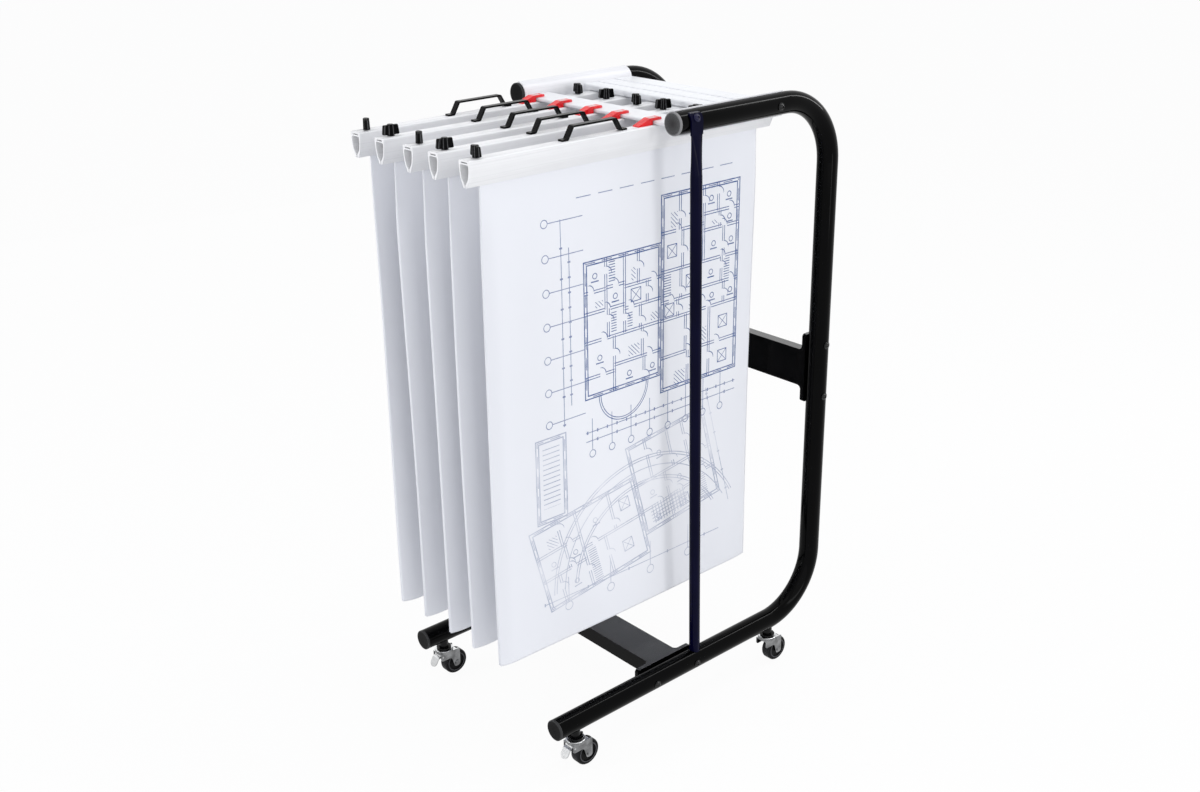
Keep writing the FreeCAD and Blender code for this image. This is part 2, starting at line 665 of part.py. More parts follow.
def fork_outline():
    """One fork plate in YZ: wide under the crown, with a concave front edge down to the eye."""
    eye = FORK_EYE_RADIUS
    front = -LEVER_PIVOT_SETBACK - 2 * LEVER_PIN_RADIUS
    step = CROWN_Z - 2 * (LEVER_PIVOT_DROP + LEVER_PIN_RADIUS)
    return [
        (front, CROWN_Z, 0),
        (front, step, FORK_FRONT_ROUND),
        (TRAIL - 2 * eye, step, eye),
        (TRAIL - eye, WHEEL_RADIUS - eye, eye * FORK_EYE_FRONT_ROUND),
        (TRAIL + eye, WHEEL_RADIUS - eye, eye * FORK_EYE_REAR_ROUND),
        (TRAIL + eye, CROWN_Z + FORK_PLATE, FORK_HEEL_ROUND),
        (front, CROWN_Z + FORK_PLATE, 0),
    ]


def caster_fork(has_lever):
    """The swivelling half: two race rings, fork plates and the riveted axle."""
    lower = rod(RACE_RADIUS - RACE_STEP, vec(0, 0, CROWN_Z), vec(0, 0, CROWN_Z + RACE_THICKNESS))
    upper = rod(
        RACE_RADIUS,
        vec(0, 0, CROWN_Z + RACE_THICKNESS),
        vec(0, 0, CROWN_Z + 2 * RACE_THICKNESS),
    )
    rim = [e for e in upper.Edges if e.Closed]
    upper = upper.makeFillet(RACE_ROUND, rim)
    gap = WHEEL_WIDTH / 2 + FORK_SIDE_GAP
    crown = block(
        vec(-gap - FORK_PLATE, -LEVER_PIVOT_SETBACK - 2 * LEVER_PIN_RADIUS, CROWN_Z),
        vec(gap + FORK_PLATE, TRAIL, CROWN_Z + FORK_PLATE),
    )
    outline = fork_outline()
    plates = [prism(outline, in_yz, start, FORK_PLATE) for start in (gap, -gap - FORK_PLATE)]
    body = lower.fuse([upper, crown] + plates)
    bore = rod(KINGPIN_RADIUS + RUNNING_FIT, vec(0, 0, 0), vec(0, 0, CROWN_Z * 2))
    axle_end = gap + FORK_PLATE
    axle = rod(AXLE_RADIUS, vec(-axle_end, TRAIL, WHEEL_RADIUS), vec(axle_end, TRAIL, WHEEL_RADIUS))
    cuts = [bore, axle]
    if has_lever:
        cuts.append(lever_pin(LEVER_PIN_RADIUS + RUNNING_FIT))
    body = body.cut(cuts).removeSplitter()
    heads = []
    for sign in (-1, 1):
        face = vec(sign * axle_end, TRAIL, WHEEL_RADIUS)
        heads.append(rod(AXLE_HEAD_RADIUS, face, face + X_AXIS * (sign * AXLE_HEAD)))
    return Part.makeCompound([body, axle.fuse(heads).removeSplitter()])


def lever_pin(radius):
    """The brake lever's pin or its hole, from one fork plate's outer face to the other's."""
    y = -LEVER_PIVOT_SETBACK
    z = CROWN_Z - LEVER_PIVOT_DROP
    end = WHEEL_WIDTH / 2 + FORK_SIDE_GAP + FORK_PLATE
    return rod(radius, vec(-end, y, z), vec(end, y, z))


def caster_wheel():
    half = WHEEL_WIDTH / 2
    axle = vec(0, TRAIL, WHEEL_RADIUS)
    wheel = rod(WHEEL_RADIUS, axle - X_AXIS * half, axle + X_AXIS * half)
    wheel = wheel.makeFillet(WHEEL_ROUND, [e for e in wheel.Edges if e.Closed])
    cuts = [rod(AXLE_RADIUS + RUNNING_FIT, axle - X_AXIS * half, axle + X_AXIS * half)]
    for sign in (-1, 1):
        face = axle + X_AXIS * (sign * half)
        inward = X_AXIS * (-sign * WHEEL_RECESS)
        dish = rod(WHEEL_RADIUS - 2 * WHEEL_ROUND, face, face + inward)
        cuts.append(dish.cut(rod(FORK_EYE_RADIUS, face, face + inward)))
    return wheel.cut(cuts)


def brake_lever():
    """A pin and collar, a short arm and a round-ended tab bent down in front of the fork."""
    pivot = vec(0, -LEVER_PIVOT_SETBACK, CROWN_Z - LEVER_PIVOT_DROP)
    half = LEVER_WIDTH / 2
    thin = LEVER_THICKNESS / 2
    collar = rod(2 * LEVER_PIN_RADIUS, pivot - X_AXIS * half, pivot + X_AXIS * half)
    bend = pivot - vec(0, LEVER_ARM_REACH, LEVER_ARM_DROP)
    arm = rectangle(-half, 0, half, (bend - pivot).Length)
    arm_plate = prism(arm, in_xy, -thin, LEVER_THICKNESS)
    arm_plate.rotate(vec(0, 0, 0), Z_AXIS, 180)
    arm_plate.rotate(vec(0, 0, 0), X_AXIS, degrees(atan2(LEVER_ARM_DROP, LEVER_ARM_REACH)))
    arm_plate.translate(pivot)
    tab = [
        (-half, 0, 0),
        (-half, -LEVER_TAB_LENGTH, half * LEVER_TAB_ROUND),
        (half, -LEVER_TAB_LENGTH, half * LEVER_TAB_ROUND),
        (half, 0, 0),
    ]
    tab_plate = prism(tab, in_xy, -thin, LEVER_THICKNESS)
    tab_plate.rotate(vec(0, 0, 0), X_AXIS, LEVER_TAB_SLOPE)
    tab_plate.translate(bend)
    knee = rod(thin, bend - X_AXIS * half, bend + X_AXIS * half)
    pieces = [arm_plate, tab_plate, knee, lever_pin(LEVER_PIN_RADIUS)]
    return collar.fuse(pieces).removeSplitter()


# Hanging clamps, drawn with the clamp's middle plane at X = 0


def clamp_x(index):
    shift = CLAMP_SHIFTS[index % len(CLAMP_SHIFTS)]
    return (index - (CLAMP_COUNT - 1) / 2) * CLAMP_PITCH + shift


def hung(shape, index):
    """The shape on its clamp, at the clamp's own place along the rails."""
    placed = shape.copy()
    placed.rotate(vec(0, CLAMP_FRONT, 0), Z_AXIS, CLAMP_YAWS[index % len(CLAMP_YAWS)])
    placed.translate(vec(clamp_x(index), 0, 0))
    return placed


def knob_places():
    front = CLAMP_FRONT + KNOB_FRONT_SETBACK
    return {"front": front, "rear": front + KNOB_SPACING}


def clamp_bar():
    """The hollow extrusion: a flat top, sides tapering to two lips that grip the sheets."""
    half = CLAMP_WIDTH / 2
    shoulder = half - CLAMP_SHOULDER_INSET
    waist = half - CLAMP_WAIST_INSET
    lip = CLAMP_LIP_WIDTH / 2
    grip = SHEET_STACK / 2
    ceiling = -SLOT_SKIN - SLOT_HEIGHT - SLOT_WEB
    outer = symmetric(
        [
            (half, 0, CLAMP_EDGE_ROUND),
            (shoulder, -CLAMP_SHOULDER_DROP, CLAMP_SHOULDER_ROUND),
            (waist, -CLAMP_WAIST_DROP, CLAMP_WAIST_ROUND),
            (lip, -CLAMP_HEIGHT, CLAMP_LIP_ROUND),
        ]
    )
    hollow = symmetric(
        [
            (half - CLAMP_TOP_WALL, ceiling, CLAMP_INNER_EDGE_ROUND),
            (shoulder - CLAMP_WALL, -CLAMP_SHOULDER_DROP, CLAMP_INNER_SHOULDER_ROUND),
            (waist - CLAMP_WALL, -CLAMP_WAIST_DROP, CLAMP_INNER_WAIST_ROUND),
            (grip, 2 * CLAMP_WALL - CLAMP_HEIGHT, 0),
            (grip, -CLAMP_HEIGHT, 0),
        ]
    )
    slot_half = half - SLOT_SIDE_WALL
    slot = rectangle(-slot_half, -SLOT_SKIN - SLOT_HEIGHT, slot_half, -SLOT_SKIN, SLOT_ROUND)
    bar = prism(outer, in_xz, CLAMP_FRONT, CLAMP_LENGTH)
    cuts = [prism(outline, in_xz, CLAMP_FRONT, CLAMP_LENGTH) for outline in (hollow, slot)]
    for sign in (-1, 1):
        middle = sign * RIB_GROOVE_OFFSET
        edge = RIB_GROOVE_WIDTH / 2
        low = vec(middle - edge, CLAMP_FRONT, -RIB_GROOVE_DEPTH)
        cuts.append(block(low, vec(middle + edge, CLAMP_FRONT + CLAMP_LENGTH, 0)))
    for y in knob_places().values():
        cuts.append(rod(KNOB_STUD_RADIUS + RUNNING_FIT, vec(0, y, ceiling), vec(0, y, 0)))
    bar = bar.cut(cuts)
    bar.translate(vec(0, 0, CLAMP_TOP))
    return bar


def offset_path(points, distance):
    """The path moved sideways by distance, with mitred corners."""
    offset = []
    for i, (u, v) in enumerate(points):
        normals = []
        for first, second in ((i - 1, i), (i, i + 1)):
            if first < 0 or second >= len(points):
                continue
            du = points[second][0] - points[first][0]
            dv = points[second][1] - points[first][1]
            size = sqrt(du * du + dv * dv)
            normals.append((-dv / size, du / size))
        nu = sum(n[0] for n in normals) / len(normals)
        nv = sum(n[1] for n in normals) / len(normals)
        scale = distance / (nu * nu + nv * nv)
        offset.append((u + nu * scale, v + nv * scale))
    return offset


def handle():
    """A bent strap: two feet, two slanting legs and a level grip."""
    front = CLAMP_FRONT + HANDLE_SETBACK
    back = front + HANDLE_LENGTH
    level = HANDLE_RISE - HANDLE_THICKNESS
    under = [
        (front, 0),
        (front + HANDLE_FOOT, 0),
        (front + HANDLE_FOOT + HANDLE_SLANT, level),
        (back - HANDLE_FOOT - HANDLE_SLANT, level),
        (back - HANDLE_FOOT, 0),
        (back, 0),
    ]
    over = offset_path(under, HANDLE_THICKNESS)
    tight = HANDLE_BEND - HANDLE_THICKNESS
    under_rounds = (0, HANDLE_BEND, tight, tight, HANDLE_BEND, 0)
    over_rounds = (0, tight, HANDLE_BEND, HANDLE_BEND, tight, 0)
    corners = [(u, v, r) for (u, v), r in zip(under, under_rounds)]
    corners += [(u, v, r) for (u, v), r in reversed(list(zip(over, over_rounds)))]
    strap = prism(corners, in_yz, -HANDLE_WIDTH / 2, HANDLE_WIDTH)
    strap.translate(vec(0, 0, CLAMP_TOP))
    return strap


def hook():
    """A wedge-footed hook on the clamp's top whose tail lies over the front rail."""
    rail_front = -FRONT_RAIL_SETBACK - FRONT_RAIL_DEPTH / 2
    riser = rail_front - HOOK_RISER_GAP
    toe = rail_front - HOOK_FOOT
    crest = rail_front - HOOK_CREST
    tip = rail_front + HOOK_TAIL
    tail = CLAMP_UNDER_RAIL + FRONT_RAIL_HEIGHT + HOOK_FIT
    top = tail + HOOK_LIP
    outline = [
        (toe, 0, 0),
        (toe, HOOK_TOE, HOOK_TOE_ROUND),
        (crest, top, HOOK_CREST_ROUND),
        (tip, top, HOOK_TIP_ROUND),
        (tip, tail, 0),
        (riser, tail, 0),
        (riser, 0, 0),
    ]
    shape = prism(outline, in_yz, -HOOK_WIDTH / 2, HOOK_WIDTH)
    shape.translate(vec(0, 0, CLAMP_TOP))
    return shape


def knob_wing():
    """Both wings as one block that narrows upwards, grooved on its long faces."""
    foot = rectangle(
        -KNOB_WIDTH / 2, -KNOB_THICKNESS / 2, KNOB_WIDTH / 2, KNOB_THICKNESS / 2, KNOB_CORNER
    )
    narrow = KNOB_TOP_WIDTH / KNOB_WIDTH
    thin = KNOB_TOP_THICKNESS / KNOB_THICKNESS
    top = [(u * narrow, v * thin, radius) for u, v, radius in foot]
    rims = [rounded_wire(foot, in_xy), rounded_wire(top, in_xy)]
    rims[0].translate(Z_AXIS * KNOB_WING_LIFT)
    rims[1].translate(Z_AXIS * KNOB_WING_TOP)
    wing = Part.makeLoft(rims, True, True)
    level = [e for e in wing.Edges if e.BoundBox.ZLength < 1e-6]
    wing = wing.makeFillet(KNOB_EDGE_ROUND, level)
    grooves = []
    for i in range(KNOB_GROOVES):
        reach = KNOB_HUB_RADIUS + KNOB_GROOVE_STEP * (i + 1) - KNOB_GROOVE_RADIUS
        for u in (-reach, reach):
            for v in (-KNOB_THICKNESS / 2, KNOB_THICKNESS / 2):
                low = vec(u, v, KNOB_WING_LIFT)
                high = vec(u * narrow, v * thin, KNOB_WING_TOP)
                grooves.append(rod(KNOB_GROOVE_RADIUS, low, high))
    return wing.cut(grooves)


def knob():
    """A wing across a round hub, with the stud that enters the clamp's top."""
    base = vec(0, 0, KNOB_LIFT)
    tall = KNOB_HEIGHT - KNOB_LIFT
    hub = Part.makeCone(KNOB_HUB_RADIUS, KNOB_HUB_TOP_RADIUS, tall, base)
    rim = [e for e in hub.Edges if e.Closed and abs(e.CenterOfMass.z - KNOB_HEIGHT) < 1e-6]
    hub = hub.makeFillet(KNOB_HUB_ROUND, rim)
    stud_end = -SLOT_SKIN - SLOT_HEIGHT - SLOT_WEB
    stud = rod(KNOB_STUD_RADIUS, vec(0, 0, stud_end), base)
    return knob_wing().fuse([hub, stud]).removeSplitter()


def sheets():
    """One stack of upright sheets, its top edge between the clamp's lips."""
    centre = CLAMP_FRONT + CLAMP_LENGTH / 2 - SHEET_FORWARD
    half = SHEET_STACK / 2
    top = CLAMP_BASE + SHEET_GRIP
    low = vec(-half, centre - SHEET_WIDTH / 2, top - SHEET_HEIGHT)
    return block(low, vec(half, centre + SHEET_WIDTH / 2, top))


def moved(shape, place):
    copy = shape.copy()
    copy.translate(place)
    return copy


def write_side_frames():
    pieces = {
        "side_frame": side_frame(),
        "foot_cap": end_cap(-FOOT_LENGTH, FOOT_Z),
        "arm_cap": end_cap(-ARM_LENGTH, ARM_Z),
        "arm_guard": arm_guard(),
        "brace": brace(),
    }
    for name, shape in pieces.items():
        for side_name, side in SIDES.items():
            save(name + "_" + side_name, mirrored(shape, side))


def write_cross_pieces():
    save("mid_beam", mid_beam())
    save("low_beam", low_beam())
    save("front_rail", front_rail())
    save("rear_rail", rear_rail())
    save("frame_bolts", frame_bolts())
    save("brace_bolts", brace_bolts())


def write_casters():
    wheel = caster_wheel()
    lever = brake_lever()
    for row, y in CASTER_ROWS.items():
        fork = caster_fork(row == "front")
        stem = caster_stem(vec(HALF_SPAN, y, 0))
        for side_name, side in SIDES.items():
            name = row + "_" + side_name
            place = vec(side * HALF_SPAN, y, 0)
            save("caster_stem_" + name, mirrored(stem, side))
            save("caster_fork_" + name, moved(fork, place))
            save("caster_wheel_" + name, moved(wheel, place))
            if row == "front":
                save("brake_lever_" + name, moved(lever, place))


def write_clamps():
    bar = clamp_bar()
    grip = handle()
    red_hook = hook()
    stack = sheets()
    wing_knob = knob()
    turns = {"front": FRONT_KNOB_TURNS, "rear": REAR_KNOB_TURNS}
    for index in range(CLAMP_COUNT):
        number = str(index + 1)
        save("clamp_bar_" + number, hung(bar, index))
        save("clamp_handle_" + number, hung(grip, index))
        save("clamp_hook_" + number, hung(red_hook, index))
        save("sheets_" + number, hung(stack, index))
        for end, y in knob_places().items():
            turned = moved(wing_knob, vec(0, y, CLAMP_TOP))
            turned.rotate(vec(0, y, 0), Z_AXIS, turns[end][index % len(turns[end])])
            save("knob_" + end + "_" + number, hung(turned, index))


os.makedirs("parts", exist_ok=True)
write_side_frames()
write_cross_pieces()
write_casters()
write_clamps()
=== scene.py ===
import json
import math
import random

import bmesh
import bpy
from mathutils import Matrix, Vector


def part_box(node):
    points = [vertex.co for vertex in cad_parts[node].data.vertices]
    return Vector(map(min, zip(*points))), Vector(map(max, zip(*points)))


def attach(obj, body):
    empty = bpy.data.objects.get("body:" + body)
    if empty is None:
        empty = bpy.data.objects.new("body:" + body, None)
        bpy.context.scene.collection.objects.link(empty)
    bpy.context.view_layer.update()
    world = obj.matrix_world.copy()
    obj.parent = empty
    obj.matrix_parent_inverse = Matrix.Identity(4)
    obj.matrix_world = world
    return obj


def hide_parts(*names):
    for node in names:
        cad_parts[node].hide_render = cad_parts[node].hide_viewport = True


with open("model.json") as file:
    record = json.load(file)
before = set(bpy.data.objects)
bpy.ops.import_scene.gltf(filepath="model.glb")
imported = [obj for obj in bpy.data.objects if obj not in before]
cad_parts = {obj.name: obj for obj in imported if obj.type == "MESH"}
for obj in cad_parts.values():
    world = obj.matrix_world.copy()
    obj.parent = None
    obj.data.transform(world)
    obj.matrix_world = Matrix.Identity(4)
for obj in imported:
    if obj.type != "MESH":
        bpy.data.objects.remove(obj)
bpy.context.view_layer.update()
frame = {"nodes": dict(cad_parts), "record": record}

NODES = frame["nodes"]

# Sheets, in metres
SHEET_WIDTH = 0.594
SHEET_HEIGHT = 0.841
STACK_THICKNESS = 0.0024
GRIP = 0.0145  # height held in the clamp
CLAMP_COUNT = 5
OUTER_SLOT, INNER_SLOT, EDGE_SLOT = range(3)
# A leaf's two faces, across the stack from its middle, and how far its free edges spread
BUNDLE = (-0.0008, 0.0008, 0.0)
FRONT_LEAF = (0.0009, 0.0012, 0.0008)
REAR_LEAF = (-0.0012, -0.0009, -0.0012)
FREE_HEIGHT = 0.12  # under the clamp, over which a sheet comes free
CURL_WIDTH = 0.030
CURL_REACH = 0.0075
BACK_WIDTH = 0.045
BACK_REACH = 0.0035
LEVEL_WAVE = 0.0011
UPRIGHT_WAVE = 0.0009
SPREAD_HEIGHT = 0.5
SPREAD_WIDTH = 0.12
# Where a leaf's mesh is cut, in millimetres from its front edge and from its foot
COLUMNS = [0, 2, 4, 7, 10, 13, 16, 20, 24, 28, 33, 40, 50, 65, 90, 120]
COLUMNS += list(range(160, 540, 32)) + [549, 556, 563, 570, 577, 584, 590, 594]
ROWS = [0, 3, 8, 16, 30] + list(range(50, 700, 25))
ROWS += [710, 730, 750, 768, 786, 800, 812, 820, 826.5, 834, 841]

# Stage and camera, in metres and degrees
MIDDLE = (0, 0, 0.6)
FLOOR_RADIUS = 14.0
FLOOR_GLOW = 0.95
WORLD_STRENGTH = 0.66
WORLD_TINT = (0.93, 0.95, 1.0)
CAMERA_PLACE = (1.75663, -1.54318, 1.52886)
CAMERA_AZIMUTH = 48.797
CAMERA_ELEVATION = 22.092
CAMERA_ROLL = -0.831
PHOTO_WIDTH = 1200  # pixels
FOCAL_LENGTH = 1387.5  # pixels
SENSOR_WIDTH = 36.0  # millimetres


# Shader helpers


class Shader:
    """A node tree with short calls for the nodes that the materials use."""

    def __init__(self, tree):
        self.tree = tree

    def put(self, socket, value):
        if isinstance(value, bpy.types.NodeSocket):
            self.tree.links.new(value, socket)
        else:
            socket.default_value = value

    def node(self, kind, values=None, **props):
        made = self.tree.nodes.new(kind)
        for key, value in props.items():
            setattr(made, key, value)
        for key, value in (values or {}).items():
            self.put(made.inputs[key], value)
        return made

    def math(self, operation, *values):
        made = self.node("ShaderNodeMath", operation=operation)
        for i, value in enumerate(values):
            self.put(made.inputs[i], value)
        return made.outputs[0]

    def all_of(self, *values):
        out = values[0]
        for value in values[1:]:
            out = self.math("MULTIPLY", out, value)
        return out

    def any_of(self, *values):
        out = values[0]
        for value in values[1:]:
            out = self.math("MAXIMUM", out, value)
        return out

    def near(self, value, middle, half):
        return self.math("COMPARE", value, middle, half)

    def split(self, vector):
        made = self.node("ShaderNodeSeparateXYZ", {0: vector})
        return made.outputs[0], made.outputs[1], made.outputs[2]

    def join(self, x, y, z=0.0):
        return self.node("ShaderNodeCombineXYZ", {0: x, 1: y, 2: z}).outputs[0]

    def distance(self, vector, x, y):
        made = self.node("ShaderNodeVectorMath", operation="DISTANCE")
        self.put(made.inputs[0], vector)
        self.put(made.inputs[1], (x, y, 0.0))
        return made.outputs["Value"]

    def stretched(self, vector, x, y, z):
        made = self.node("ShaderNodeVectorMath", operation="MULTIPLY")
        self.put(made.inputs[0], vector)
        self.put(made.inputs[1], (x, y, z))
        return made.outputs[0]

    def noise(self, vector, scale, detail=3.0, roughness=0.5):
        values = {"Vector": vector, "Scale": scale, "Detail": detail, "Roughness": roughness}
        return self.node("ShaderNodeTexNoise", values).outputs["Fac"]

    def spread(self, value, low, high, to_low, to_high):
        values = {0: value, 1: low, 2: high, 3: to_low, 4: to_high}
        return self.node("ShaderNodeMapRange", values, clamp=True).outputs[0]

    def mix(self, factor, first, second):
        made = self.node("ShaderNodeMix", data_type="RGBA")
        self.put(made.inputs[0], factor)
        self.put(made.inputs[6], first)
        self.put(made.inputs[7], second)
        return made.outputs[2]

    def bump(self, height, strength, distance, normal=None):
        values = {"Strength": strength, "Distance": distance, "Height": height}
        made = self.node("ShaderNodeBump", values)
        if normal is not None:
            self.put(made.inputs["Normal"], normal)
        return made.outputs[0]


def material(name):
    """A new material. Returns it, the Shader of its tree and its Principled shader node."""
    made = bpy.data.materials.new(name)
    made.use_nodes = True
    tree = made.node_tree
    return made, Shader(tree), tree.nodes["Principled BSDF"]


def rgb(r, g, b):
    return (r, g, b, 1.0)


def object_place(sh):
    return sh.node("ShaderNodeTexCoord").outputs["Object"]


# Materials


def paint(name, dark, light, rough, peel, specular, top=None):
    """Sprayed paint or powder coat: faint cloudiness, orange peel and a few dull scuffs.

    rough is the lowest and highest roughness. With top, level faces that look up are
    painted lighter, a painted sheen for the light from above, and have that specular level.
    """
    made, sh, out = material(name)
    out.inputs["Specular IOR Level"].default_value = specular
    place = object_place(sh)
    cloud = sh.noise(place, 9.0, 4.0)
    colour = sh.mix(sh.spread(cloud, 0.35, 0.7, 0.0, 1.0), dark, light)
    if top is not None:
        normal = sh.node("ShaderNodeTexCoord").outputs["Normal"]
        up = sh.spread(sh.split(normal)[2], 0.86, 0.97, 0.0, 1.0)
        sh.put(out.inputs["Specular IOR Level"], sh.spread(up, 0.0, 1.0, specular, top))
        # Painted sheen: faces that look up get a lighter base colour for the light that falls on
        # them
        colour = sh.mix(up, colour, rgb(0.035, 0.035, 0.036))
    sh.put(out.inputs["Base Color"], colour)
    scuffs = sh.noise(sh.stretched(place, 60.0, 14.0, 60.0), 1.0, 6.0, 0.65)
    dull = sh.spread(scuffs, 0.64, 0.8, 0.0, 1.0)
    clean = sh.spread(cloud, 0.3, 0.7, *rough)
    scuffed = sh.math("ADD", clean, sh.math("MULTIPLY", dull, 0.06))
    sh.put(out.inputs["Roughness"], scuffed)
    orange = sh.noise(place, 420.0, 2.0)
    sh.put(out.inputs["Normal"], sh.bump(orange, peel, 0.0002))
    return made


def moulded(name, base, other, rough, grain, grain_size, specular):
    """Moulded plastic with a fine eroded grain and faint flow marks."""
    made, sh, out = material(name)
    out.inputs["Specular IOR Level"].default_value = specular
    place = object_place(sh)
    flow = sh.noise(sh.stretched(place, 30.0, 30.0, 12.0), 1.0, 3.0)
    sh.put(out.inputs["Base Color"], sh.mix(sh.spread(flow, 0.35, 0.65, 0.0, 1.0), base, other))
    fine = sh.noise(place, grain_size, 3.0, 0.6)
    sh.put(out.inputs["Roughness"], sh.spread(fine, 0.3, 0.7, rough - 0.06, rough + 0.08))
    sh.put(out.inputs["Normal"], sh.bump(fine, grain, 0.0003))
    return made


def extruded(name, base, other, rough):
    """White extruded plastic or coated aluminium: die lines that run along the length."""
    made, sh, out = material(name)
    out.inputs["Specular IOR Level"].default_value = 0.45
    place = object_place(sh)
    lines = sh.noise(sh.stretched(place, 900.0, 1.5, 900.0), 1.0, 2.0)
    cloud = sh.noise(place, 6.0, 3.0)
    sh.put(out.inputs["Base Color"], sh.mix(sh.spread(cloud, 0.35, 0.7, 0.0, 1.0), base, other))
    sh.put(out.inputs["Roughness"], sh.spread(lines, 0.3, 0.7, rough - 0.05, rough + 0.07))
    sh.put(out.inputs["Normal"], sh.bump(lines, 0.08, 0.0001))
    return made


def end_cap(name, dark, light, rim, specular):
    """A grained plastic end cap with a painted highlight round its rim and painted shade in its
    middle.
    """
    made, sh, out = material(name)
    out.inputs["Specular IOR Level"].default_value = specular
    coord = sh.node("ShaderNodeTexCoord")
    gx, _, gz = sh.split(coord.outputs["Generated"])
    away = sh.distance(sh.join(gx, gz), 0.5, 0.5)
    grain = sh.noise(coord.outputs["Object"], 700.0, 4.0, 0.65)
    face = sh.mix(sh.spread(grain, 0.35, 0.65, 0.0, 1.0), dark, light)
    # Painted shade: towards the middle the face fades to the dark colour
    face = sh.mix(sh.spread(away, 0.05, 0.4, 0.0, 1.0), dark, face)
    # Painted highlight: a pale ring in the rim colour round the edge
    sh.put(out.inputs["Base Color"], sh.mix(sh.spread(away, 0.43, 0.47, 0.0, 1.0), face, rim))
    sh.put(out.inputs["Roughness"], sh.spread(grain, 0.3, 0.7, 0.36, 0.52))
    sh.put(out.inputs["Normal"], sh.bump(grain, 0.5, 0.0003))
    return made


def plated(name, low, high, painted_up_highlight, rough):
    """Zinc plate: softly clouded, with a painted highlight where it looks up, and a fine brushed
    roughness.
    """
    made, sh, out = material(name)
    out.inputs["Metallic"].default_value = 1.0
    coord = sh.node("ShaderNodeTexCoord")
    place = coord.outputs["Object"]
    cloud = sh.noise(place, 70.0, 2.0)
    side = sh.mix(sh.spread(cloud, 0.3, 0.7, 0.0, 1.0), low, high)
    up = sh.spread(sh.split(coord.outputs["Normal"])[2], 0.25, 0.8, 0.0, 1.0)
    # Painted highlight: faces that look up are mixed towards a pale colour
    sh.put(out.inputs["Base Color"], sh.mix(up, side, painted_up_highlight))
    brushed = sh.noise(sh.stretched(place, 1400.0, 260.0, 260.0), 1.0, 2.0)
    sh.put(out.inputs["Roughness"], sh.spread(brushed, 0.3, 0.7, rough - 0.07, rough + 0.08))
    sh.put(out.inputs["Normal"], sh.bump(brushed, 0.06, 0.00008))
    return made


def hook_red():
    """Red plastic with a plain pale patch on the tail's top and a duller tail end."""
    made, sh, out = material("hook_red")
    out.inputs["Specular IOR Level"].default_value = 0.5
    coord = sh.node("ShaderNodeTexCoord")
    gx, gy, _ = sh.split(coord.outputs["Generated"])
    nz = sh.split(coord.outputs["Normal"])[2]
    place = coord.outputs["Object"]
    flow = sh.noise(sh.stretched(place, 80.0, 40.0, 80.0), 1.0, 3.0)
    even = sh.spread(flow, 0.35, 0.65, 0.0, 1.0)
    red = sh.mix(even, rgb(0.74, 0.006, 0.012), rgb(0.9, 0.014, 0.02))
    tail = sh.spread(gy, 0.86, 1.0, 0.0, 0.55)
    red = sh.mix(tail, red, rgb(0.75, 0.16, 0.18))
    patch = sh.all_of(
        sh.near(gx, 0.5, 0.34), sh.near(gy, 0.68, 0.14), sh.math("GREATER_THAN", nz, 0.5)
    )
    worn = sh.spread(sh.noise(place, 700.0, 3.0), 0.35, 0.6, 0.6, 1.0)
    sh.put(out.inputs["Base Color"], sh.mix(sh.all_of(patch, worn), red, rgb(0.58, 0.5, 0.5)))
    sh.put(out.inputs["Roughness"], sh.spread(flow, 0.3, 0.7, 0.22, 0.36))
    sh.put(out.inputs["Normal"], sh.bump(sh.noise(place, 500.0, 2.0), 0.06, 0.0002))
    return made


def knob_black():
    """Black plastic whose upright ridges are paler than the rest, a painted highlight along the
    ribs.
    """
    made, sh, out = material("knob_black")
    out.inputs["Specular IOR Level"].default_value = 0.05
    coord = sh.node("ShaderNodeTexCoord")
    gx, gy, _ = sh.split(coord.outputs["Generated"])
    nz = sh.math("ABSOLUTE", sh.split(coord.outputs["Normal"])[2])
    turn = sh.math("ARCTAN2", sh.math("SUBTRACT", gy, 0.5), sh.math("SUBTRACT", gx, 0.5))
    ridge = sh.spread(sh.math("SINE", sh.math("MULTIPLY", turn, 9.0)), 0.55, 0.95, 0.0, 1.0)
    side = sh.math("LESS_THAN", nz, 0.6)
    fine = sh.noise(coord.outputs["Object"], 600.0, 3.0, 0.6)
    black = sh.mix(fine, rgb(0.0012, 0.0012, 0.0014), rgb(0.0035, 0.0035, 0.0038))
    # Painted highlight: the ridges' colour is paler, standing for light along the ribs
    worn = sh.mix(fine, rgb(0.04, 0.04, 0.042), rgb(0.13, 0.13, 0.134))
    sh.put(out.inputs["Base Color"], sh.mix(sh.all_of(ridge, side), black, worn))
    sh.put(out.inputs["Roughness"], sh.spread(fine, 0.3, 0.7, 0.2, 0.34))
    normal = sh.bump(ridge, 0.25, 0.0003)
    sh.put(out.inputs["Normal"], sh.bump(fine, 0.08, 0.0002, normal))
    return made


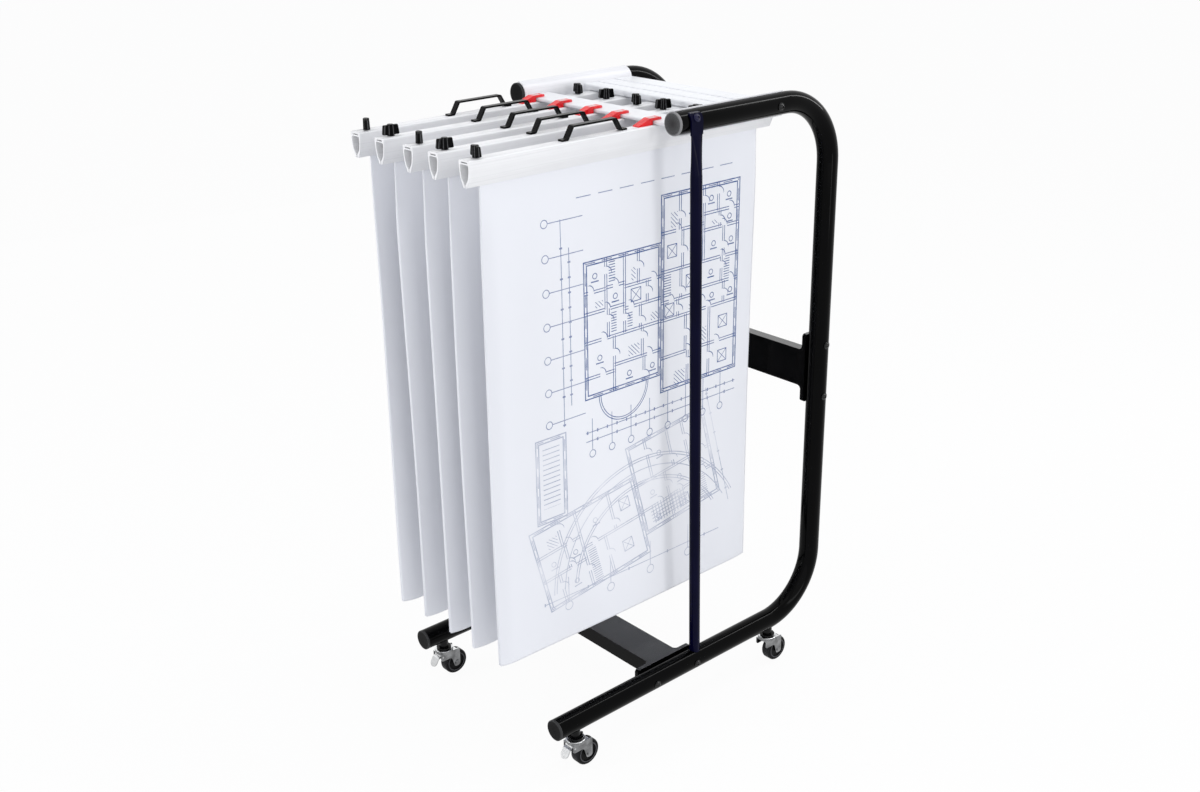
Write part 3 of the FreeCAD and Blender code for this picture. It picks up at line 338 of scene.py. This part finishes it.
def wheel_grey():
    """A dark nylon wheel: greyer scuffed tread, black recess and a grey ring inside it."""
    made, sh, out = material("wheel_grey")
    out.inputs["Specular IOR Level"].default_value = 0.08
    coord = sh.node("ShaderNodeTexCoord")
    _, gy, gz = sh.split(coord.outputs["Generated"])
    away = sh.distance(sh.join(gy, gz), 0.5, 0.5)
    tread = sh.spread(away, 0.44, 0.49, 0.0, 1.0)
    scuff = sh.noise(coord.outputs["Object"], 220.0, 4.0, 0.65)
    grey = sh.mix(scuff, rgb(0.01, 0.01, 0.011), rgb(0.032, 0.032, 0.034))
    colour = sh.mix(tread, rgb(0.003, 0.003, 0.0033), grey)
    ring = sh.near(away, 0.365, 0.02)
    colour = sh.mix(ring, colour, rgb(0.07, 0.07, 0.075))
    sh.put(out.inputs["Base Color"], colour)
    sh.put(out.inputs["Roughness"], sh.spread(scuff, 0.3, 0.7, 0.4, 0.62))
    sh.put(out.inputs["Normal"], sh.bump(scuff, 0.15, 0.0002))
    return made


def frame_black():
    """Glossy powder coat of the tubes."""
    return paint(
        "frame_black",
        dark=rgb(0.0006, 0.0006, 0.0007),
        light=rgb(0.0012, 0.0012, 0.0014),
        rough=(0.08, 0.11),
        peel=0.004,
        specular=0.055,
    )


def beam_black():
    """Powder coat of the two flat beams, with a painted sheen on top."""
    return paint(
        "beam_black",
        dark=rgb(0.001, 0.001, 0.0011),
        light=rgb(0.002, 0.002, 0.0022),
        rough=(0.1, 0.16),
        peel=0.03,
        specular=0.06,
        top=1.0,
    )


def brace_navy():
    """Very dark blue coat of the braces."""
    return paint(
        "brace_navy",
        dark=rgb(0.001, 0.001, 0.013),
        light=rgb(0.002, 0.002, 0.02),
        rough=(0.12, 0.18),
        peel=0.03,
        specular=0.06,
    )


def bolt_black():
    """Black coat of the frame's small bolts."""
    return paint(
        "bolt_black",
        dark=rgb(0.003, 0.003, 0.0033),
        light=rgb(0.007, 0.007, 0.0075),
        rough=(0.16, 0.26),
        peel=0.05,
        specular=0.3,
    )


def brace_bolt_navy():
    """Dark blue coat of the braces' bolts."""
    return paint(
        "brace_bolt_navy",
        dark=rgb(0.003, 0.003, 0.03),
        light=rgb(0.006, 0.006, 0.05),
        rough=(0.16, 0.26),
        peel=0.05,
        specular=0.3,
    )


def stem_black():
    """Black coat of the casters' stems."""
    return paint(
        "stem_black",
        dark=rgb(0.002, 0.002, 0.0022),
        light=rgb(0.005, 0.005, 0.0055),
        rough=(0.2, 0.3),
        peel=0.05,
        specular=0.15,
    )


def guard_white():
    """The pale covers beside the arms."""
    return extruded("guard_white", rgb(0.8, 0.8, 0.82), rgb(0.84, 0.84, 0.86), rough=0.3)


def rail_white():
    """The two rails."""
    return extruded("rail_white", rgb(0.82, 0.83, 0.85), rgb(0.86, 0.87, 0.89), rough=0.32)


def clamp_white():
    """The hanging clamps."""
    return extruded("clamp_white", rgb(0.84, 0.84, 0.85), rgb(0.88, 0.88, 0.885), rough=0.3)


def cap_black():
    """The end caps of the feet and of the far arm."""
    return end_cap(
        "cap_black",
        dark=rgb(0.0015, 0.0015, 0.0017),
        light=rgb(0.009, 0.009, 0.0095),
        # rim is the colour of the painted highlight round the cap's edge
        rim=rgb(0.045, 0.045, 0.046),
        specular=0.05,
    )


def cap_grey():
    """The near arm's end cap, a lighter copy of the caps' material: painted light makes it greyer
    than the others.
    """
    return end_cap(
        "cap_grey",
        dark=rgb(0.03, 0.03, 0.031),
        light=rgb(0.12, 0.12, 0.122),
        # rim is the colour of the painted highlight round the cap's edge
        rim=rgb(0.24, 0.24, 0.243),
        specular=0.15,
    )


def handle_black():
    """The clamps' strap handles."""
    return moulded(
        "handle_black",
        base=rgb(0.003, 0.003, 0.0033),
        other=rgb(0.006, 0.006, 0.0065),
        rough=0.26,
        grain=0.1,
        grain_size=900.0,
        specular=0.07,
    )


def zinc():
    """Plate of the casters' forks."""
    return plated(
        "zinc",
        low=rgb(0.13, 0.132, 0.135),
        high=rgb(0.28, 0.284, 0.29),
        painted_up_highlight=rgb(0.74, 0.75, 0.76),
        rough=0.22,
    )


def lever_zinc():
    """Brighter plate of the brake levers."""
    return plated(
        "lever_zinc",
        low=rgb(0.4, 0.405, 0.41),
        high=rgb(0.56, 0.565, 0.57),
        painted_up_highlight=rgb(0.72, 0.73, 0.74),
        rough=0.24,
    )


# The drawing on the sheets, a generic plan with no words. Its places and sizes are in
# millimetres from the sheet's lower front corner.
FINE = 0.75  # half of a thin line
BOLD = 1.1
INNER_WALL = 4.6
OUTER_WALL = 6.0
DOOR = 13.0
WINDOW_PITCH = 36.0
STEP = 4.6
TAG = 4.6  # radius of a room's round tag
MAIN_ROOM = 36.0  # least width of a room
MAIN_FLOORS = ((368.0, 398.0, 556.0, 748.0), (196.0, 432.0, 368.0, 668.0))
TERRACE = (282.0, 432.0)
TERRACE_RADII = (52.0, 56.0)
TERRACE_FIELD = 60.0
STAIR_BLOCK = (88.0, 236.0, 152.0, 388.0)
STAIR_FLIGHT = (102.0, 262.0, 138.0, 374.0)
SITE_ROOM = 46.0
SITE_FLOORS = ((96.0, 92.0, 330.0, 258.0), (330.0, 130.0, 520.0, 318.0))
ROAD_CENTRE = (330.0, 60.0)
ROAD_RADII = (176.0, 181.0, 204.0, 222.0, 227.0)
ROAD_FIELD = (60.0, 120.0, 560.0, 300.0)
PAVING = (352.0, 142.0, 440.0, 182.0)


class Plan:
    """One drawing on a sheet, gathered line by line in a node group of its own."""

    def __init__(self, seed):
        self.tree = bpy.data.node_groups.new("plan", "ShaderNodeTree")
        self.tree.interface.new_socket("Vector", in_out="INPUT", socket_type="NodeSocketVector")
        self.tree.interface.new_socket("Ink", in_out="OUTPUT", socket_type="NodeSocketFloat")
        self.sh = Shader(self.tree)
        self.place = self.sh.node("NodeGroupInput").outputs[0]
        self.x, self.y, _ = self.sh.split(self.place)
        self.rng = random.Random(seed)
        self.ink = None

    def printed(self, sh, place):
        """Puts the finished drawing into a material. Returns its ink, which is 1 on a line."""
        self.sh.put(self.sh.node("NodeGroupOutput").inputs[0], self.ink)
        made = sh.node("ShaderNodeGroup", {0: place}, node_tree=self.tree)
        return made.outputs[0]

    def add(self, ink):
        self.ink = ink if self.ink is None else self.sh.any_of(self.ink, ink)

    def ways(self, upright):
        """The place across a line and along it."""
        return (self.x, self.y) if upright else (self.y, self.x)

    def within(self, low_x, low_y, high_x, high_y):
        wide = self.sh.near(self.x, (low_x + high_x) / 2, (high_x - low_x) / 2)
        tall = self.sh.near(self.y, (low_y + high_y) / 2, (high_y - low_y) / 2)
        return self.sh.all_of(wide, tall)

    def line(self, upright, at, low, high, half=FINE):
        across, along = self.ways(upright)
        return self.sh.all_of(
            self.sh.near(across, at, half), self.sh.near(along, (low + high) / 2, (high - low) / 2)
        )

    def repeated(self, value, pitch, width):
        return self.sh.math("LESS_THAN", self.sh.math("FLOORED_MODULO", value, pitch), width)

    def wall(self, upright, at, low, high):
        """An inner wall of two lines, with a doorway and the swing of its door."""
        sh = self.sh
        across, along = self.ways(upright)
        hinge = self.rng.uniform(low + DOOR / 2, high - 1.5 * DOOR)
        doorway = sh.near(along, hinge + DOOR / 2, DOOR / 2)
        aside = sh.math("ABSOLUTE", sh.math("SUBTRACT", across, at))
        lines = sh.near(aside, INNER_WALL / 2, FINE)
        length = sh.near(along, (low + high) / 2, (high - low) / 2)
        self.add(sh.all_of(lines, length, sh.math("SUBTRACT", 1.0, doorway)))
        corner = (at, hinge) if upright else (hinge, at)
        swing = sh.near(sh.distance(self.place, *corner), DOOR, FINE)
        side = sh.near(across, at + DOOR / 2, DOOR / 2)
        self.add(sh.all_of(swing, doorway, side))

    def outer_walls(self, low_x, low_y, high_x, high_y):
        """A rectangle of two bold lines with windows between them."""
        sh = self.sh
        away_x = sh.math("ABSOLUTE", sh.math("SUBTRACT", self.x, (low_x + high_x) / 2))
        away_y = sh.math("ABSOLUTE", sh.math("SUBTRACT", self.y, (low_y + high_y) / 2))
        out_x = sh.math("SUBTRACT", away_x, (high_x - low_x) / 2)
        out_y = sh.math("SUBTRACT", away_y, (high_y - low_y) / 2)
        out = sh.math("MAXIMUM", out_x, out_y)
        self.add(sh.any_of(sh.near(out, 0.0, BOLD), sh.near(out, -OUTER_WALL, BOLD)))
        panes = self.repeated(sh.math("ADD", self.x, self.y), WINDOW_PITCH, 0.6 * WINDOW_PITCH)
        self.add(sh.all_of(sh.near(out, -OUTER_WALL / 2, FINE), panes))

    def rooms(self, low_x, low_y, high_x, high_y, least):
        """Splits a floor into rooms with walls between them, and fills each one."""
        upright = high_x - low_x > (high_y - low_y) * self.rng.uniform(0.8, 1.25)
        low, high = (low_x, high_x) if upright else (low_y, high_y)
        if high - low < 2 * least:
            self.fill(low_x, low_y, high_x, high_y)
            return
        at = low + (high - low) * self.rng.uniform(0.36, 0.64)
        if upright:
            self.wall(True, at, low_y, high_y)
            self.rooms(low_x, low_y, at, high_y, least)
            self.rooms(at, low_y, high_x, high_y, least)
        else:
            self.wall(False, at, low_x, high_x)
            self.rooms(low_x, low_y, high_x, at, least)
            self.rooms(low_x, at, high_x, high_y, least)

    def fill(self, low_x, low_y, high_x, high_y):
        """A room's round tag, stairs, crossed shaft or hatched floor."""
        sh = self.sh
        x, y = (low_x + high_x) / 2, (low_y + high_y) / 2
        edge = 1.4 * INNER_WALL
        kind = self.rng.choice(("tag", "tag", "stairs", "shaft", "hatch", "bare"))
        if kind == "tag":
            self.add(sh.near(sh.distance(self.place, x, y), TAG, FINE))
            self.add(self.line(False, y - 2 * TAG, x - 1.8 * TAG, x + 1.8 * TAG, BOLD))
        elif kind == "stairs":
            flight = self.within(low_x + edge, low_y + edge, x, high_y - edge)
            self.add(sh.all_of(flight, self.repeated(self.y, STEP, 2 * FINE)))
        elif kind == "shaft":
            away_x = sh.math("ABSOLUTE", sh.math("SUBTRACT", self.x, x))
            away_y = sh.math("ABSOLUTE", sh.math("SUBTRACT", self.y, y))
            away = sh.math("MAXIMUM", away_x, away_y)
            cross = sh.near(sh.math("SUBTRACT", away_x, away_y), 0.0, FINE)
            cross = sh.all_of(cross, sh.math("LESS_THAN", away, 2.4 * TAG))
            self.add(sh.any_of(cross, sh.near(away, 2.4 * TAG, FINE)))
        elif kind == "hatch":
            slant = self.repeated(sh.math("ADD", self.x, self.y), 1.6 * STEP, 2 * FINE)
            self.add(sh.all_of(slant, self.within(x, low_y + edge, high_x - edge, y)))

    def chain(self, upright, at, low, high, pitch):
        """A dimension line with a tick at every pitch."""
        across, along = self.ways(upright)
        self.add(self.line(upright, at, low, high))
        length = self.sh.near(along, (low + high) / 2, (high - low) / 2)
        ticks = self.sh.all_of(self.repeated(along, pitch, 4 * FINE), length)
        self.add(self.sh.all_of(ticks, self.sh.near(across, at, 4 * FINE)))

    def axes(self, upright, first, pitch, count, bubbles_at, radius, lines_to):
        """Axis bubbles in a row along upright or level, with a thin line from each."""
        sh = self.sh
        across, along = self.ways(upright)
        local = sh.math("FLOORED_MODULO", sh.math("SUBTRACT", along, first - pitch / 2), pitch)
        span = sh.near(along, first + pitch * (count - 1) / 2, pitch * count / 2)
        ring = sh.near(sh.distance(sh.join(local, across), pitch / 2, bubbles_at), radius, FINE)
        near_end = bubbles_at + math.copysign(radius, lines_to - bubbles_at)
        stalk = sh.all_of(
            sh.near(local, pitch / 2, FINE),
            sh.near(across, (near_end + lines_to) / 2, abs(lines_to - near_end) / 2),
        )
        self.add(sh.all_of(sh.any_of(ring, stalk), span))

    def arcs(self, x, y, radii, low_x, low_y, high_x, high_y):
        """Rings about a point, seen only within a rectangle."""
        away = self.sh.distance(self.place, x, y)
        rings = self.sh.any_of(*(self.sh.near(away, radius, FINE) for radius in radii))
        self.add(self.sh.all_of(rings, self.within(low_x, low_y, high_x, high_y)))


def main_plan(sh, place, seed):
    """The main building: a tall part, a low wing and a half-round terrace under the wing."""
    inks = []
    for i, floor in enumerate(MAIN_FLOORS):
        plan = Plan(seed + i)
        plan.outer_walls(*floor)
        plan.rooms(*floor, MAIN_ROOM)
        inks.append(plan.printed(sh, place))
    x, y = TERRACE
    terrace = Plan(seed)
    field = (x - TERRACE_FIELD, y - TERRACE_FIELD, x + TERRACE_FIELD, y)
    terrace.arcs(x, y, TERRACE_RADII, *field)
    return sh.any_of(*inks, terrace.printed(sh, place))


def measures(sh, place, seed):
    """Dimension lines and axis bubbles below the main building and beside it."""
    plan = Plan(seed)
    plan.chain(upright=True, at=150.0, low=398.0, high=748.0, pitch=50.0)
    plan.chain(upright=True, at=166.0, low=432.0, high=700.0, pitch=25.0)
    plan.chain(upright=False, at=372.0, low=196.0, high=556.0, pitch=22.0)
    plan.chain(upright=False, at=356.0, low=196.0, high=556.0, pitch=44.0)
    plan.axes(True, first=410.0, pitch=56.0, count=7, bubbles_at=118.0, radius=6.5, lines_to=196.0)
    plan.axes(False, first=210.0, pitch=44.0, count=8, bubbles_at=332.0, radius=6.5, lines_to=396.0)
    dashes = plan.repeated(plan.x, 46.0, 30.0)
    dashed = plan.line(upright=False, at=776.0, low=180.0, high=540.0)
    plan.add(plan.sh.all_of(dashed, dashes))
    return plan.printed(sh, place)


def stair_strip(sh, place, seed):
    """A narrow block of stairs beside the building, with its own axes."""
    side = Plan(seed)
    side.outer_walls(*STAIR_BLOCK)
    steps = side.repeated(side.y, 9.0, 2 * FINE)
    side.add(side.sh.all_of(side.within(*STAIR_FLIGHT), steps))
    side.axes(False, first=150.0, pitch=96.0, count=4, bubbles_at=62.0, radius=8.0, lines_to=118.0)
    side.chain(upright=False, at=82.0, low=96.0, high=520.0, pitch=96.0)
    return side.printed(sh, place)


def slanted_place(sh, place):
    """The sheet's places turned and sheared, for the site plan that stands at a slant."""
    turned = sh.node("ShaderNodeMapping", {"Vector": place}, vector_type="POINT")
    turned.inputs["Rotation"].default_value = (0.0, 0.0, math.radians(-8.0))
    turned.inputs["Location"].default_value = (-34.0, 44.0, 0.0)
    x, y, _ = sh.split(turned.outputs[0])
    return sh.join(sh.math("MULTIPLY_ADD", y, 0.12, x), y)


def faint_plans(sh, place, seed):
    """Fainter drawings: a strip of stairs beside the building and a slanted site plan below it."""
    slanted = slanted_place(sh, place)
    inks = [stair_strip(sh, place, seed)]
    for i, floor in enumerate(SITE_FLOORS):
        block = Plan(seed + 1 + i)
        block.outer_walls(*floor)
        block.rooms(*floor, SITE_ROOM)
        inks.append(block.printed(sh, slanted))
    site = Plan(seed)
    site.arcs(*ROAD_CENTRE, ROAD_RADII, *ROAD_FIELD)
    columns = site.repeated(site.x, 7.0, 2 * FINE)
    rows = site.repeated(site.y, 7.0, 2 * FINE)
    site.add(site.sh.all_of(site.sh.any_of(columns, rows), site.within(*PAVING)))
    site.chain(upright=True, at=536.0, low=100.0, high=350.0, pitch=42.0)
    inks.append(site.printed(sh, slanted))
    fade = sh.spread(sh.noise(place, 0.011, 2.0), 0.34, 0.6, 0.35, 1.0)
    return sh.math("MULTIPLY", sh.any_of(*inks), fade)


def paper_material(name, seed=None):
    """White drawing paper with a soft tooth. With a seed it carries a printed plan in blue."""
    made, sh, out = material(name)
    out.inputs["Roughness"].default_value = 0.62
    out.inputs["Specular IOR Level"].default_value = 0.25
    coord = sh.node("ShaderNodeTexCoord")
    tooth = sh.noise(coord.outputs["Object"], 900.0, 4.0, 0.6)
    cloud = sh.noise(coord.outputs["Object"], 5.0, 3.0)
    white = sh.mix(cloud, rgb(0.85, 0.86, 0.90), rgb(0.88, 0.89, 0.925))
    sh.put(out.inputs["Normal"], sh.bump(tooth, 0.05, 0.0002))
    if seed is None:
        sh.put(out.inputs["Base Color"], white)
        return made
    flat = sh.stretched(sh.node("ShaderNodeUVMap", uv_map="flat").outputs[0], 1000.0, 1000.0, 0.0)
    ink = sh.any_of(
        main_plan(sh, flat, seed),
        sh.math("MULTIPLY", measures(sh, flat, seed), 0.8),
        sh.math("MULTIPLY", faint_plans(sh, flat, seed), 0.58),
    )
    worn = sh.spread(sh.noise(flat, 0.09, 3.0), 0.3, 0.6, 0.75, 1.0)
    blue = sh.mix(sh.noise(flat, 0.02, 1.0), rgb(0.012, 0.06, 0.23), rgb(0.025, 0.09, 0.30))
    sh.put(out.inputs["Base Color"], sh.mix(sh.all_of(ink, worn), white, blue))
    return made


def edge_material():
    """The cut edges of a stack: fine layer lines."""
    made, sh, out = material("paper_edges")
    out.inputs["Roughness"].default_value = 0.75
    place = object_place(sh)
    layers = sh.noise(sh.stretched(place, 5200.0, 8.0, 8.0), 1.0, 1.0)
    lines = sh.spread(layers, 0.4, 0.6, 0.0, 1.0)
    colour = sh.mix(lines, rgb(0.70, 0.71, 0.76), rgb(0.86, 0.87, 0.9))
    sh.put(out.inputs["Base Color"], colour)
    sh.put(out.inputs["Normal"], sh.bump(layers, 0.3, 0.0001))
    return made


MATERIALS = {
    look.__name__: look()
    for look in (
        frame_black,
        beam_black,
        brace_navy,
        bolt_black,
        brace_bolt_navy,
        stem_black,
        guard_white,
        rail_white,
        clamp_white,
        cap_black,
        cap_grey,
        handle_black,
        knob_black,
        zinc,
        lever_zinc,
        hook_red,
        wheel_grey,
    )
}


def dress(node, name):
    """Gives a CAD node its material in every slot."""
    data = NODES[node].data
    if not data.materials:
        data.materials.append(None)
    for i in range(len(data.materials)):
        data.materials[i] = MATERIALS[name]


SPECIAL = {"brace_bolts": "brace_bolt_navy"}
for part in frame["record"]["subparts"]:
    look = SPECIAL.get(part["node"], part["material_slot"])
    if look in MATERIALS:
        dress(part["node"], look)


# Sheets of drawings


def smooth_step(share):
    return share * share * (3 - 2 * share)


def sheet_point(number, u, v, across):
    """A point of stack `number`: u from its front edge, v from its foot, and across it.

    A stack whose box is wider than the stack hangs turned, with its rear towards -X.
    """
    low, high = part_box("sheets_" + str(number))
    rng = random.Random(100 + number)
    phase = [rng.uniform(0, 6.28) for _ in range(5)]
    free = smooth_step(min(1.0, max(0.0, (SHEET_HEIGHT - GRIP - v) / FREE_HEIGHT)))
    drop = (SHEET_HEIGHT - v) / SHEET_HEIGHT
    curl = max(0.0, 1 - u / CURL_WIDTH)
    back = max(0.0, (u - SHEET_WIDTH + BACK_WIDTH) / BACK_WIDTH)
    lean = -CURL_REACH * curl**1.7 * free * (0.85 + 0.25 * math.sin(4.2 * drop + phase[0]))
    lean += BACK_REACH * back**2 * free * math.sin(3.0 * drop + phase[1])
    wave = LEVEL_WAVE * math.sin(11 * u + phase[2]) * drop * free
    wave += UPRIGHT_WAVE * math.sin(6 * drop + phase[3] + 4 * u) * free
    along = u + 0.0025 * curl**2 * free
    out = across + lean + wave
    turn = math.asin(max(0.0, high.x - low.x - STACK_THICKNESS) / SHEET_WIDTH)
    front = high.x - STACK_THICKNESS / 2
    x = front - along * math.sin(turn) + out * math.cos(turn)
    y = low.y + along * math.cos(turn) + out * math.sin(turn)
    return Vector((x, y, low.z + v))


def leaf_side(mesh, number, across, spread):
    """The corners of one face of a leaf, row by row from its foot."""
    grid = []
    for row in ROWS:
        line = []
        v = min(SHEET_HEIGHT, row / 1000)
        for column in COLUMNS:
            u = min(SHEET_WIDTH, column / 1000)
            low_down = max(0.0, 1 - v / SPREAD_HEIGHT) ** 2
            fore = max(0.0, 1 - u / SPREAD_WIDTH) ** 2
            loose = low_down + 0.6 * fore * min(1, (SHEET_HEIGHT - v) / 0.2)
            line.append(mesh.verts.new(sheet_point(number, u, v, across + spread * loose)))
        grid.append(line)
    return grid


def leaf_face(mesh, corners, slot, uvs):
    made = mesh.faces.new(corners)
    made.smooth = slot != EDGE_SLOT
    made.material_index = slot
    flat = mesh.loops.layers.uv["flat"]
    for loop, uv in zip(made.loops, uvs):
        loop[flat].uv = uv


def leaf_rim(mesh, first, last):
    """Closes a leaf between its two faces, all round."""
    tall, wide = len(ROWS), len(COLUMNS)
    rim = [(0, j) for j in range(wide)] + [(i, wide - 1) for i in range(1, tall)]
    rim += [(tall - 1, j) for j in range(wide - 2, -1, -1)]
    rim += [(i, 0) for i in range(tall - 2, 0, -1)]
    for k, (a, b) in enumerate(rim):
        c, d = rim[(k + 1) % len(rim)]
        corners = [last[a][b], first[a][b], first[c][d], last[c][d]]
        leaf_face(mesh, corners, EDGE_SLOT, [(0, 0)] * 4)


def leaf(name, number, sizes, looks):
    """One leaf or bundle of a stack between two faces, as a closed mesh.

    sizes are its two faces, across the stack from its middle, and how far it moves away
    from its neighbours towards its free edges. looks are its outer face's material, its
    inner face's and its edges'.
    """
    inner, outer, spread = sizes
    mesh = bmesh.new()
    mesh.loops.layers.uv.new("flat")
    first = leaf_side(mesh, number, inner, spread)
    last = leaf_side(mesh, number, outer, spread)
    for grid, slot in ((first, INNER_SLOT), (last, OUTER_SLOT)):
        for i in range(len(ROWS) - 1):
            for j in range(len(COLUMNS) - 1):
                spots = [(i, j), (i, j + 1), (i + 1, j + 1), (i + 1, j)]
                if slot == INNER_SLOT:
                    spots.reverse()
                uvs = [(COLUMNS[b] / 1000, ROWS[a] / 1000) for a, b in spots]
                leaf_face(mesh, [grid[a][b] for a, b in spots], slot, uvs)
    leaf_rim(mesh, first, last)
    data = bpy.data.meshes.new(name)
    mesh.normal_update()
    mesh.to_mesh(data)
    mesh.free()
    piece = bpy.data.objects.new(name, data)
    bpy.context.scene.collection.objects.link(piece)
    for look in looks:
        data.materials.append(look)
    return piece


PLAIN = paper_material("paper_plain")
PRINTED = paper_material("paper_plan", 25)
EDGES = edge_material()
for number in range(1, CLAMP_COUNT + 1):
    body = "clamp_" + str(number)
    node = "sheets_" + str(number)
    bundle = leaf("stack_bundle_" + str(number), number, BUNDLE, (PLAIN, PLAIN, EDGES))
    front = leaf("stack_top_leaf_" + str(number), number, FRONT_LEAF, (PRINTED, PLAIN, EDGES))
    rear = leaf("stack_last_leaf_" + str(number), number, REAR_LEAF, (PLAIN, PLAIN, EDGES))
    for piece in (bundle, front, rear):
        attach(piece, body)
    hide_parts(node)


# Stage, light and camera


def seen_white(sh):
    """1 for the rays that show the background: to the camera, in gloss and through glass."""
    path = sh.node("ShaderNodeLightPath")
    rays = ("Is Camera Ray", "Is Glossy Ray", "Is Transmission Ray")
    return sh.any_of(*(path.outputs[ray] for ray in rays))


def stage_floor():
    """A pale floor that shows white to the camera and keeps a soft shadow."""
    mesh = bmesh.new()
    bmesh.ops.create_circle(mesh, cap_ends=True, segments=96, radius=FLOOR_RADIUS)
    data = bpy.data.meshes.new("floor")
    mesh.to_mesh(data)
    mesh.free()
    floor = bpy.data.objects.new("floor", data)
    bpy.context.scene.collection.objects.link(floor)
    look = bpy.data.materials.new("floor_pale")
    look.use_nodes = True
    tree = look.node_tree
    tree.nodes.clear()
    sh = Shader(tree)
    diffuse = sh.node("ShaderNodeBsdfDiffuse", {"Color": rgb(0.8, 0.8, 0.8)})
    glow = sh.node("ShaderNodeEmission", {"Color": rgb(1, 1, 1), "Strength": 1.0})
    share = sh.math("MULTIPLY", seen_white(sh), FLOOR_GLOW)
    mixed = sh.node("ShaderNodeMixShader", {0: share, 1: diffuse.outputs[0], 2: glow.outputs[0]})
    sh.put(sh.node("ShaderNodeOutputMaterial").inputs[0], mixed.outputs[0])
    data.materials.append(look)


def white_world():
    """A white background that lights the object at a plain, slightly cool level."""
    world = bpy.data.worlds.new("studio")
    bpy.context.scene.world = world
    world.use_nodes = True
    tree = world.node_tree
    tree.nodes.clear()
    sh = Shader(tree)
    seen = seen_white(sh)
    level = sh.spread(seen, 0.0, 1.0, WORLD_STRENGTH, 1.0)
    tint = sh.mix(seen, rgb(*WORLD_TINT), rgb(1, 1, 1))
    background = sh.node("ShaderNodeBackground", {"Color": tint, "Strength": level})
    sh.put(sh.node("ShaderNodeOutputWorld").inputs[0], background.outputs[0])


def softbox(name, place, aim, size, power):
    lamp = bpy.data.lights.new(name, "AREA")
    lamp.shape = "RECTANGLE"
    lamp.size, lamp.size_y = size
    lamp.energy = power
    made = bpy.data.objects.new(name, lamp)
    bpy.context.scene.collection.objects.link(made)
    made.location = place
    made.rotation_euler = (Vector(aim) - Vector(place)).to_track_quat("-Z", "Y").to_euler()


def photo_camera():
    """The photo's camera, solved from the photo's perspective."""
    azimuth = math.radians(CAMERA_AZIMUTH)
    elevation = math.radians(CAMERA_ELEVATION)
    roll = math.radians(CAMERA_ROLL)
    level = math.cos(elevation)
    back = Vector((math.sin(azimuth) * level, -math.cos(azimuth) * level, math.sin(elevation)))
    right = (-back).cross(Vector((0, 0, 1))).normalized()
    up = back.cross(right)
    turned_right = right * math.cos(roll) + up * math.sin(roll)
    turned_up = up * math.cos(roll) - right * math.sin(roll)
    data = bpy.data.cameras.new("camera")
    data.sensor_width = SENSOR_WIDTH
    data.lens = SENSOR_WIDTH * FOCAL_LENGTH / PHOTO_WIDTH
    data.clip_start = 0.05
    data.clip_end = 60.0
    camera = bpy.data.objects.new("camera", data)
    bpy.context.scene.collection.objects.link(camera)
    turn = Matrix((turned_right, turned_up, back)).transposed().to_4x4()
    camera.matrix_world = Matrix.Translation(CAMERA_PLACE) @ turn
    bpy.context.scene.camera = camera


stage_floor()
white_world()
softbox("side", place=(3.4, -1.1, 1.6), aim=MIDDLE, size=(5.4, 4.0), power=30.0)
softbox("fill", place=(-3.4, 0.8, 1.6), aim=MIDDLE, size=(5.0, 4.0), power=9.0)
softbox("front", place=(-1.2, -3.2, 2.2), aim=MIDDLE, size=(1.6, 2.2), power=9.5)
softbox("top", place=(0.3, 0.2, 3.6), aim=MIDDLE, size=(2.4, 2.4), power=12.0)
# Narrow lamps that draw the lines of light along the black tubes
softbox("strip_side", place=(3.14, 0.61, 1.3), aim=(0, 0, 0.8), size=(0.5, 2.6), power=14.0)
softbox("strip_front", place=(-1.1, -3.2, 1.5), aim=(0, 0, 0.8), size=(0.18, 2.6), power=26.0)
softbox("strip_rear", place=(0.7, 2.1, 2.3), aim=(0.2, 0.2, 0.7), size=(0.18, 2.6), power=22.0)
photo_camera()
bpy.context.scene.view_settings.view_transform = "Standard"
